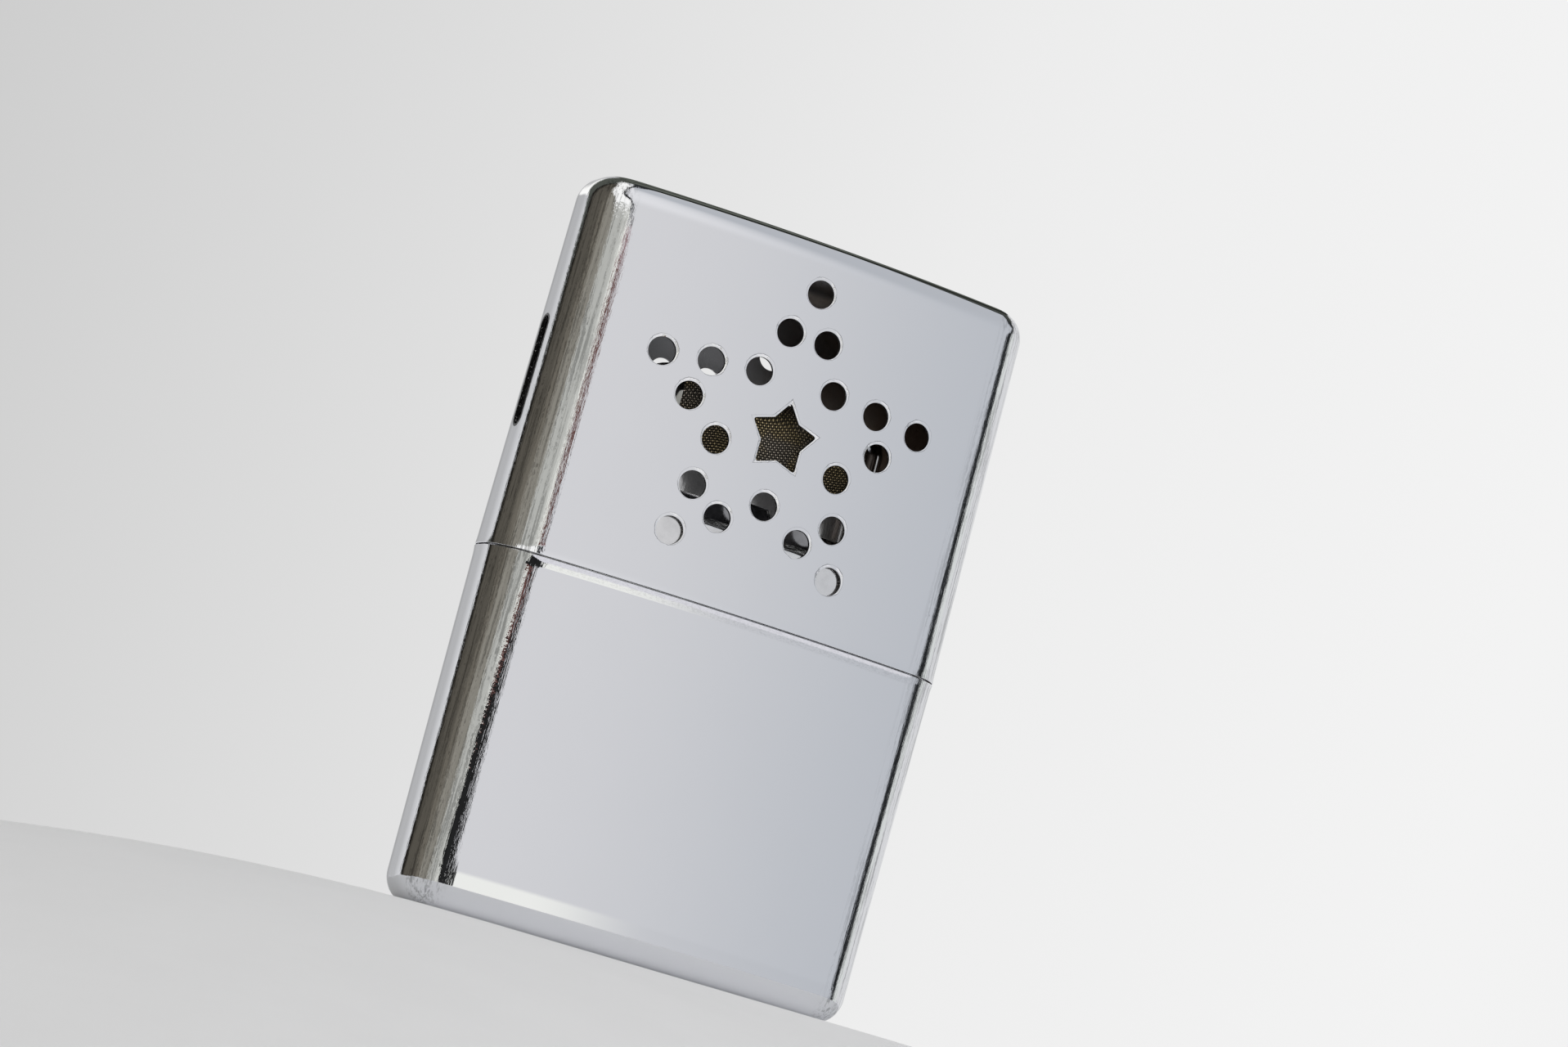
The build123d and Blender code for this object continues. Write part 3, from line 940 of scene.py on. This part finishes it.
class HANDWARMER_OT_tank(bpy.types.Operator):
    """Fuel tank: drawn shell, closed at the base, with a soft roll at its upper edge"""
    bl_idname = "hand_warmer.tank"
    bl_label = "Tank"

    def execute(self, context):
        case = settings().case
        tank = draw_up("tank", wall_profile(case_ring(), 0, 1.7 * MM, 0.1 * MM, 0.09 * MM))
        tank.data.materials.append(finish("tank"))
        tank.data.materials.append(finish("lining"))
        thicken(tank, case.sheet, 1)
        finish_piece(tank, "tank", "tank", "tank_shell")
        return {"FINISHED"}


# ---- Collar and neck ----
def arc(inset_from, inset_to, z_from, z_to, steps):
    """Quarter-round stages that leave upwards and arrive flat."""
    rows = []
    for k in range(1, steps + 1):
        a = math.pi / 2 * k / steps
        rows.append((inset_from + (inset_to - inset_from) * (1 - math.cos(a)),
                     z_from + (z_to - z_from) * math.sin(a)))
    return rows


class HANDWARMER_OT_collar(bpy.types.Operator):
    """Collar that the lid slides over, with the plate round the filler neck"""
    bl_idname = "hand_warmer.collar"
    bl_label = "Collar"

    def execute(self, context):
        case, inside = settings().case, settings().inside
        ring = case_ring()
        hole = oblong_ring(inside.neck_length, inside.neck_depth)
        lean = math.tan(case.draft)
        out = case.sheet + inside.clearance

        def at(z, extra=0):
            return abs(z - case.seam) * lean + extra

        top, skirt = inside.collar_top, inside.collar_bottom
        below = case.seam - 0.8 * MM
        stages = [(ring, at(skirt, case.sheet), skirt), (ring, at(below, case.sheet), below)]
        stages.append((ring, out, case.seam - 0.75 * MM))
        for k in range(9):
            z = case.seam + (top - 0.8 * MM - case.seam) * k / 8
            stages.append((ring, at(z, out), z))
        edge = at(top, out)
        stages += [(ring, inset, z) for inset, z in arc(edge, edge + 0.8 * MM, top - 0.8 * MM, top, 6)]
        stages.append((ring, edge + 1.4 * MM, top))
        stages.append((hole, -1.2 * MM, top))
        stages.append((hole, 0, top))
        collar = draw_up("collar", stages, close=False)
        thicken(collar, case.sheet)
        finish_piece(collar, "collar", "tank", "tank_collar")
        return {"FINISHED"}


class HANDWARMER_OT_neck(bpy.types.Operator):
    """Filler neck with its flange, and the bead of solder round its foot"""
    bl_idname = "hand_warmer.neck"
    bl_label = "Filler Neck"

    def execute(self, context):
        case, inside = settings().case, settings().inside
        ring = oblong_ring(inside.neck_length, inside.neck_depth)
        plate = inside.collar_top - case.sheet
        stages = [(ring, -3 * MM, plate), (ring, -0.4 * MM, plate), (ring, 0, plate + 0.3 * MM)]
        stages += [(ring, 0, plate + (inside.neck_top - plate) * k / 6) for k in range(1, 6)]
        stages += [(ring, 0, inside.neck_top - 0.15 * MM), (ring, 0.08 * MM, inside.neck_top)]
        neck = draw_up("filler_neck_tube", stages, close=False)
        thicken(neck, case.sheet)
        finish_piece(neck, "neck", "tank", "filler_neck")

        top = inside.collar_top
        stages = [(ring, 0.02 * MM, top - 0.02 * MM), (ring, -0.85 * MM, top - 0.02 * MM)]
        for t in [k / 6 for k in range(1, 7)]:
            stages.append((ring, -0.85 * MM + 0.8 * MM * t ** 1.4, top + 1.2 * MM * t ** 1.2))
        stages.append((ring, 0.02 * MM, top + 1.25 * MM))
        bead = draw_up("neck_solder_bead", stages, close=False)
        outwards(bead)
        ripple(bead, 0.22 * MM, 1.6 * MM)
        finish_piece(bead, "solder", "tank", "neck_solder", 60)
        return {"FINISHED"}


# ---- Burner ----
def hood_ring():
    inside = settings().inside
    return oblong_ring(inside.hood_length, inside.hood_depth)


def hood_stages(ring, inset, bottom, bulge, crown):
    """A loaf: upright sides that bulge a little, rounded top edges, a slightly crowned top."""
    inside = settings().inside
    top = inside.hood_top - inset - crown
    reach = 4 * MM - inset * 0.5
    stages = []
    for k in range(9):
        t = k / 8
        stages.append((ring, inset - bulge * math.sin(math.pi * t), bottom + (HOOD_FOLD - bottom) * t))
    stages += [(ring, i, z) for i, z in arc(inset, inset + reach, HOOD_FOLD, top, 12)]
    for k in (1, 2):
        stages.append((ring, inset + reach + 0.8 * MM * k, top + crown * (1 - (1 - k / 2) ** 2)))
    return stages


class HANDWARMER_OT_burner_base(bpy.types.Operator):
    """Burner socket with its air notches, and the rimmed tray on top of it"""
    bl_idname = "hand_warmer.burner_base"
    bl_label = "Burner Base"

    def execute(self, context):
        case, inside = settings().case, settings().inside
        wall = inside.burner_sheet
        loose = 0.2 * MM
        ring = oblong_ring(inside.neck_length + loose + 2 * wall, inside.neck_depth + loose + 2 * wall)
        bottom = inside.socket_bottom

        def notched(raise_by):
            def height(x, y):
                if abs(y) < 4 * MM:
                    return bottom + raise_by
                notch = smooth((3.6 * MM - abs(x)) / (0.9 * MM))
                return bottom + raise_by + (1.4 * MM - raise_by * 0.5) * notch
            return height

        stages = [(ring, 0, notched(0)), (ring, 0, notched(0.25 * MM))]
        stages += [(ring, 0, NOTCH_TOP + (inside.neck_top - NOTCH_TOP) * k / 4) for k in range(4)]
        stages.append((ring, 0, inside.neck_top - 0.02 * MM))
        socket = draw_up("socket_sleeve", stages, close=False)
        thicken(socket, wall)
        soften(socket, lambda e: max(v.co.z for v in e.verts) < 68 * MM, 0.06 * MM)
        finish_piece(socket, "burner", "burner", "burner_socket")

        outer = oblong_ring(inside.hood_length + 2 * wall, inside.hood_depth + 2 * wall)
        inner = oblong_ring(inside.neck_length - 2 * case.sheet, inside.neck_depth - 2 * case.sheet)
        floor = inside.neck_top
        stages = [(inner, 0, floor), (inner, -1 * MM, floor), (outer, 0.7 * MM, floor)]
        stages += [(outer, 0.5 * MM - 0.5 * MM * math.sin(a), floor + 0.5 * MM - 0.5 * MM * math.cos(a))
                   for a in (0.4, 0.8, 1.2, math.pi / 2)]
        stages += [(outer, 0, floor + 1.3 * MM), (outer, 0, floor + 2 * MM)]
        tray = draw_up("tray_dish", stages, close=False)
        thicken(tray, wall)
        soften(tray, lambda e: min(v.co.z for v in e.verts) > floor + 1.9 * MM, 0.1 * MM)
        finish_piece(tray, "burner", "burner", "burner_tray")
        return {"FINISHED"}


class HANDWARMER_OT_gauze(bpy.types.Operator):
    """Wire gauze hood and the wool under it"""
    bl_idname = "hand_warmer.gauze"
    bl_label = "Gauze Hood"

    def execute(self, context):
        inside = settings().inside
        ring = hood_ring()
        bottom = inside.neck_top + inside.burner_sheet
        stages = hood_stages(ring, inside.burner_sheet, bottom + 0.05 * MM, 0.12 * MM, 0.35 * MM)
        gauze = draw_up("woven_hood", stages)
        outwards(gauze)
        for side in (-1, 1):
            cut_off(gauze, side * inside.gauze_reach, side)
        map_weave(gauze)
        apply(gauze, "SOLIDIFY", thickness=0.3 * MM, offset=-1, use_even_offset=True)
        finish_piece(gauze, "gauze", "burner", "gauze_hood", 60)

        inset = inside.burner_sheet + 0.6 * MM
        low = bottom + inside.burner_sheet + 0.05 * MM
        wool = draw_up("treated_wool", hood_stages(ring, inset, low, 0, 0.2 * MM), first=True)
        outwards(wool)
        ripple(wool, 0.25 * MM, 1.2 * MM)
        finish_piece(wool, "wool", "burner", "catalyst_wool", 80)
        return {"FINISHED"}


def map_weave(piece):
    """Lays the weave over the hood: along X one way, over the hood from front to back the other."""
    inside = settings().inside
    half = inside.hood_depth / 2 - inside.burner_sheet
    layer = piece.data.uv_layers.new(name="weave")
    for loop in piece.data.loops:
        x, y, z = piece.data.vertices[loop.vertex_index].co
        over = (half - abs(y)) * 0.75 + (z - HOOD_FOLD) * 0.6 if z > HOOD_FOLD else 0
        way = (min(z, HOOD_FOLD) - WEAVE_FROM) + over
        full = (HOOD_FOLD - WEAVE_FROM) + half * 0.75 + 2.4 * MM
        layer.data[loop.index].uv = (x + 0.05, way if y < 0 else 2 * full - way)


class HANDWARMER_OT_end_caps(bpy.types.Operator):
    """Metal caps over both ends of the hood"""
    bl_idname = "hand_warmer.end_caps"
    bl_label = "End Caps"

    def execute(self, context):
        inside = settings().inside
        ring = hood_ring()
        bottom = inside.neck_top + inside.burner_sheet
        for side, name in ((-1, "left"), (1, "right")):
            cap = draw_up("cap_" + name, hood_stages(ring, 0, bottom + 0.02 * MM, 0, 0))
            outwards(cap)
            cut_off(cap, side * inside.cap_reach, -side)
            thicken(cap, inside.burner_sheet)
            finish_piece(cap, "caps", "burner", "end_cap_" + name, 40)
        return {"FINISHED"}


def pillow(name, ring, inset, low, high, swell, edge):
    """A soft block: bulging sides between rounded edges, in steps close enough to dent."""
    stages = []
    rows = max(4, int((high - low) / (2.5 * MM)))
    for k in range(5):
        a = math.pi / 2 * k / 4
        stages.append((ring, inset(low) + edge * (1 - math.sin(a)), low + edge * (1 - math.cos(a))))
    for k in range(1, rows):
        z = low + edge + (high - low - 2 * edge) * k / rows
        stages.append((ring, inset(z) - swell * math.sin(math.pi * k / rows), z))
    for k in range(5):
        a = math.pi / 2 * (1 - k / 4)
        stages.append((ring, inset(high) + edge * (1 - math.sin(a)), high - edge * (1 - math.cos(a))))
    piece = draw_up(name, stages, first=True)
    outwards(piece)
    return piece


class HANDWARMER_OT_padding(bpy.types.Operator):
    """Felt wick pad under the filler neck and the cotton wadding that fills the tank"""
    bl_idname = "hand_warmer.padding"
    bl_label = "Wick Pad and Wadding"

    def execute(self, context):
        case, inside = settings().case, settings().inside
        under_neck = inside.collar_top - 2 * case.sheet
        thickness = 1.6 * MM
        ring = oblong_ring(inside.neck_length + 6 * MM, inside.neck_depth + 6 * MM)
        pad = pillow("felt_pad", ring, lambda z: 0.2 * MM, under_neck - thickness + 0.05 * MM,
                     under_neck - 0.05 * MM, 0.1 * MM, 0.35 * MM)
        ripple(pad, 0.12 * MM, 1.5 * MM)
        finish_piece(pad, "felt", "tank", "wick_pad", 80)

        ring = case_ring()
        lean = math.tan(case.draft)
        high = under_neck - thickness - 0.1 * MM

        def inset(z):
            loose = case.sheet + 0.9 * MM if z < inside.collar_bottom - 3 * MM else 2 * case.sheet + 1.1 * MM
            return abs(z - case.seam) * lean + loose

        cotton = pillow("cotton_filling", ring, inset, case.sheet + 0.5 * MM, high, 0.1 * MM, 3.6 * MM)
        ripple(cotton, 0.8 * MM, 4 * MM)
        finish_piece(cotton, "cotton", "tank", "tank_wadding", 80)
        return {"FINISHED"}


class HANDWARMER_OT_frame_finishes(bpy.types.Operator):
    """Finishes on the construction nodes that stay in view"""
    bl_idname = "hand_warmer.frame_finishes"
    bl_label = "Frame Finishes"

    def execute(self, context):
        wanted = {"collar_solder": "solder", "neck_screen": "screen", "burner_deck": "screen",
                  "cap_rivets": "brass"}
        for node, name in wanted.items():
            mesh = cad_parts[node].data
            mesh.materials.clear()
            mesh.materials.append(finish(name))
        return {"FINISHED"}


# ---- Stage ----
BANDS = [
    # degrees round the object from +X over +Y, and how bright the tent is there
    (0, 0.8), (50, 0.8), (60, 0.9), (67, 0.85), (84, 0.5), (93, 0.4), (105, 0.5), (142, 0.8),
    (143.6, 0.01), (153, 0.02), (157, 0.1), (187, 0.1), (190, 0.16), (202, 0.16),
    (206, 0.3), (226, 0.26), (229, 0.55), (257, 0.55), (265.6, 0.95), (266.3, 1.1),
]
TINTS = [
    # up to so many degrees, tint of the tent's light
    (143, (1, 1, 1)), (204, (1.08, 0.98, 0.79)), (228, (1.05, 0.99, 0.84)),
    (360, (1, 1, 0.92)),
]
SKY = (1.15, 1.14, 1.1)
FRONT = (0.78, 0.775, 0.78)
FRONT_RIGHT = (0.6, 0.62, 0.65)
OUTSIDE = (0.8, 0.82, 0.79)
FLAG_BEHIND = (0.13, 0.14, 0.12)
BLACK = (0.02, 0.02, 0.02)
RED = (0.16, 0.08, 0.07)
PINK = (0.38, 0.26, 0.27)
SNOW = (1.02, 1.02, 0.96)
GROUND = (0.84, 0.83, 0.86)
RIM = (0.03, 0.032, 0.034)
SEAM_TOP = (0.09, 0.08, 0.08)

# Edges of the tent's parts, as straight runs through points. Where an edge follows rise, a point is
# (degrees up, degrees round); where it follows turn or side, (degrees round, degrees up or a strength);
# where it follows Y, (the direction's Y, its X or a width).
SEAM_LEFT = (      # by rise
    (0, 255), (0.8, 250), (3, 250), (4.4, 255), (4.6, 257.1), (4.8, 259.2), (5, 260.2),
    (5.5, 261.2), (6.1, 263.3), (7.3, 266.2), (8, 266.32),
)
SEAM_RIGHT = (     # by rise
    (0, 268.2), (2, 267.9), (4, 267.62), (6.5, 267.65), (7.5, 267.95), (11, 268), (12, 267.7),
)
SEAM_BLACK = (     # by rise
    (3.6, 250), (4.4, 263.9), (4.6, 264.1), (4.8, 265.8), (4.9, 266.4), (5.2, 266.9), (7, 267.4),
    (9.5, 268),
)
FLAG_FROM = (      # by turn
    (47, 36), (53, 33), (58, 27), (62, 20), (70, 15), (75, 22), (80, 40),
    (85, 42), (99, 37), (108, 31), (115, 24), (128, 16), (134, 11.5), (143, 9),
    (143.6, -20),
)
FLAG_TO = (        # by turn
    (47, 62), (50, 74), (55, 76), (85, 72), (150, 69), (174, 68), (183, 65),
    (191, 58), (197, 46), (205, 36), (210, 32), (217, 24), (222, 16),
    (226, 10), (230, -20),
)
FLAG_LIGHT = (     # by turn
    (47, 0.2), (57, 0.16), (60, 0.6), (63.5, 1.25), (66, 0.45), (70, 0.9), (80, 0.7),
)
PANEL_RIGHT = (    # by rise
    (13.5, -25), (21, -18.5), (30, 0), (35, 8), (43, 7), (48, 9), (50.5, 16),
    (53.5, 31), (55.5, 46),
)
PANEL_LEFT = (     # by Y
    (-1, -0.061), (-0.96, -0.066), (-0.91, -0.09), (-0.8, -0.2), (-0.7, -0.31), (-0.58, -0.36),
    (-0.45, -0.29), (-0.3, -0.18), (-0.12, -0.05), (0, 0.1), (0.2, 0.16), (0.32, 0.2), (0.5, 0.3),
)
RIM_WIDTH = (      # by Y
    (-0.97, 0.018), (-0.93, 0.03), (-0.8, 0.062), (-0.3, 0.066), (0, 0.045), (0.3, 0.03),
)
NEAR_GROUND = ((-92, -9.5), (-76, -17))                                   # by side
FAR_GROUND = ((136, -5), (144, -16), (250, -16), (256, -9))     # by turn


def step(value, at, soft):
    return value.between(at - soft, at + soft)


def studio_world():
    """A bright tent with dark flags behind it and to its left, and a thin dark red seam in front."""
    world = bpy.data.worlds.new("studio")
    bpy.context.scene.world = world
    sheet = Sheet(world)
    x, y, z = sheet.split(sheet.node("ShaderNodeTexCoord").out("Generated"))
    side = y.math("ARCTAN2", x) * (180 / math.pi)          # -180 to 180 degrees
    turn = side.math("WRAP", 360, 0)                   # 0 to 360 degrees
    rise = z.math("ARCSINE") * (180 / math.pi)

    # bands low round the object; they lean towards the left edge of the seam lower down
    seam_left = rise.through(SEAM_LEFT)
    leaning = turn + (266.4 - seam_left) * turn.between(228, 256)
    stops = []
    for at, level in BANDS:
        tint = next(rgb for limit, rgb in TINTS if at <= limit)
        stops.append((at / 360, [level * c for c in tint]))
    bands = sheet.ramp(leaning / 360, stops)
    bands = sheet.mix(step(turn, 300, 1), bands, OUTSIDE)

    # above them: a pale roof, and dark flags from behind the right edge round to the left
    ragged = (sheet.noise(sheet.join(turn / 7, rise / 4, 7), 1, 4, 0.8) - 0.5) * 5
    flag = step(turn, 47.5, 1) * (rise - turn.through(FLAG_FROM)).between(-0.8, 0.8)
    flag = flag * (turn.through(FLAG_TO) - rise + ragged).between(-1.2, 1.2)
    roof = (rise + ragged * 0.8).between(13.4, 15.6) * turn.between(84, 100)
    roof = roof * (1 - step(turn, 266.5, 0.1))
    light = sheet.mix(roof * (1 - flag), bands, SKY)
    behind = sheet.dim(FLAG_BEHIND, turn.through(FLAG_LIGHT))
    light = sheet.mix(flag * step(143.2 - turn, 0, 0.4), light, behind)

    # the front: one even panel that reaches over the top, with a thin dark edge all round
    edge_right = rise.through(PANEL_RIGHT)
    edge_left = y.through(PANEL_LEFT)
    high = rise.between(13, 14)
    inside_left = step(turn, 266.42, 0.04) * (1 - high) + step(x - edge_left, 0, 0.004) * high
    inside_right = step(edge_right - side, 0, 1.2)
    front = inside_left * inside_right * (1 - step(side, 100, 1)) * (1 - flag)
    fading = side.between(-93, -38)
    gain = 1 + rise.between(15, 45) * 0.16 * (1 - fading) - rise.between(25, 57) * 0.08 * fading
    panel = sheet.dim(sheet.mix(fading, FRONT, FRONT_RIGHT), gain)
    light = sheet.mix(front, light, panel)
    beyond = step(side - edge_right, 0, 1) * (1 - step(side, 48.5, 1)) * rise.between(36.5, 40)
    light = sheet.mix(beyond * rise.between(57, 56), light, sheet.dim(FLAG_BEHIND, 0.55))
    outline = (y.through(RIM_WIDTH) - (x - edge_left).math("ABSOLUTE")).between(0, 0.008)
    outline = outline * high * y.between(0.36, 0.3)
    rim = (side - edge_right - 1.5).math("ABSOLUTE").between(11.5, 6) * rise.between(56.5, 55)
    light = sheet.mix(outline.math("MAXIMUM", rim), light, RIM)

    # the ground in front: a bright far edge on the left, softer nearer to the object
    near = step(turn, 256, 3) * inside_right
    ground = sheet.mix((rise - side.through(NEAR_GROUND)).between(0, -1.5), SNOW, GROUND)
    ground = sheet.mix(side.between(-84, -68), ground, sheet.dim(panel, 0.97))
    light = sheet.mix(near * rise.between(0.6, 0), light, ground)
    light = sheet.mix((rise - turn.through(FAR_GROUND)).between(0, -3), light, GROUND)

    # the seam left of the panel: dark red, and black on its right lower down
    slimmer = seam_left + rise.between(12, 12.6) * 0.6
    seam = step(turn - slimmer, 0, 0.06) * step(rise.through(SEAM_RIGHT) - turn, 0, 0.06)
    seam = seam * rise.between(13.9, 13.4) * rise.between(-11, -10)
    seam_tone = sheet.mix(rise.between(10.9, 11.5), RED, PINK)
    seam_tone = sheet.mix(rise.between(12.2, 12.6), seam_tone, SEAM_TOP)
    black = step(turn - rise.through(SEAM_BLACK), 0, 0.1) * rise.between(10, 9)
    seam_tone = sheet.mix(black, seam_tone, BLACK)
    light = sheet.mix(seam, light, seam_tone)
    shader = sheet.node("ShaderNodeBackground", inputs={"Color": light, "Strength": 1}).out("Background")
    sheet.node("ShaderNodeOutputWorld", inputs={"Surface": shader})


def floor_height(x, y):
    """Flat under the object and falling away gently all round, so that the base can be seen from low down."""
    away_x = max(0, abs(x) - 30 * MM)
    away_y = max(0, abs(y) - 8 * MM)
    return -(away_x ** 2 + away_y ** 2) / (2 * FLOOR_BOW)


class HANDWARMER_OT_stage(bpy.types.Operator):
    """Pale floor, soft light and the camera"""
    bl_idname = "hand_warmer.stage"
    bl_label = "Stage"

    def execute(self, context):
        stage = settings().stage
        bpy.ops.object.select_all(action="DESELECT")
        bpy.ops.mesh.primitive_grid_add(x_subdivisions=FLOOR_STEPS, y_subdivisions=FLOOR_STEPS,
                                        size=FLOOR_SIZE)
        floor = bpy.context.object
        floor.name = "floor"
        for vert in floor.data.vertices:
            vert.co.z = floor_height(vert.co.x, vert.co.y)
        bpy.ops.object.shade_smooth()
        floor.data.materials.append(floor_material())

        camera = bpy.data.objects.new("camera", bpy.data.cameras.new("camera"))
        context.scene.collection.objects.link(camera)
        turned = Matrix((CAMERA_RIGHT, -CAMERA_DOWN, -CAMERA_FORWARD)).transposed().to_4x4()
        camera.matrix_world = Matrix.Translation(stage.camera) @ turned
        camera.data.lens = stage.lens
        camera.data.sensor_width = 36
        camera.data.clip_start = 0.01
        camera.data.clip_end = 20
        context.scene.camera = camera

        studio_world()
        for name, place, power in (("key", (0.5, -0.7, 0.9), 4), ("fill", (-0.8, -0.3, 0.7), 1.5)):
            light = bpy.data.lights.new(name, "AREA")
            light.shape = "DISK"
            light.size = 0.9
            light.energy = power
            lamp = bpy.data.objects.new(name, light)
            context.scene.collection.objects.link(lamp)
            lamp.location = place
            lamp.rotation_euler = (Vector((0, 0, 0.05)) - Vector(place)).to_track_quat("-Z", "Y").to_euler()
            lamp.visible_glossy = False
        context.scene.view_settings.view_transform = "Standard"
        return {"FINISHED"}


class HANDWARMER_PT_panel(bpy.types.Panel):
    """Sidebar panel that lists the pieces"""
    bl_label = "Hand Warmer"
    bl_idname = "HANDWARMER_PT_panel"
    bl_space_type = "VIEW_3D"
    bl_region_type = "UI"
    bl_category = "Hand Warmer"

    def draw(self, context):
        column = self.layout.column(align=True)
        for operator in OPERATORS:
            column.operator(operator.bl_idname)


SETTINGS = (CaseSettings, InsideSettings, FinishSettings, StageSettings, HandWarmerSettings)
OPERATORS = (HANDWARMER_OT_lid, HANDWARMER_OT_tank, HANDWARMER_OT_collar, HANDWARMER_OT_neck,
             HANDWARMER_OT_padding, HANDWARMER_OT_burner_base, HANDWARMER_OT_gauze, HANDWARMER_OT_end_caps,
             HANDWARMER_OT_frame_finishes, HANDWARMER_OT_stage)


def register():
    for each in (*SETTINGS, *OPERATORS, HANDWARMER_PT_panel):
        bpy.utils.register_class(each)
    bpy.types.Scene.hand_warmer = bpy.props.PointerProperty(type=HandWarmerSettings)


def unregister():
    del bpy.types.Scene.hand_warmer
    for each in reversed((*SETTINGS, *OPERATORS, HANDWARMER_PT_panel)):
        bpy.utils.unregister_class(each)


def main():
    register()
    bpy.ops.hand_warmer.lid()
    bpy.ops.hand_warmer.tank()
    bpy.ops.hand_warmer.collar()
    bpy.ops.hand_warmer.neck()
    bpy.ops.hand_warmer.padding()
    bpy.ops.hand_warmer.burner_base()
    bpy.ops.hand_warmer.gauze()
    bpy.ops.hand_warmer.end_caps()
    bpy.ops.hand_warmer.frame_finishes()
    bpy.ops.hand_warmer.stage()


if __name__ == "__main__":
    main()
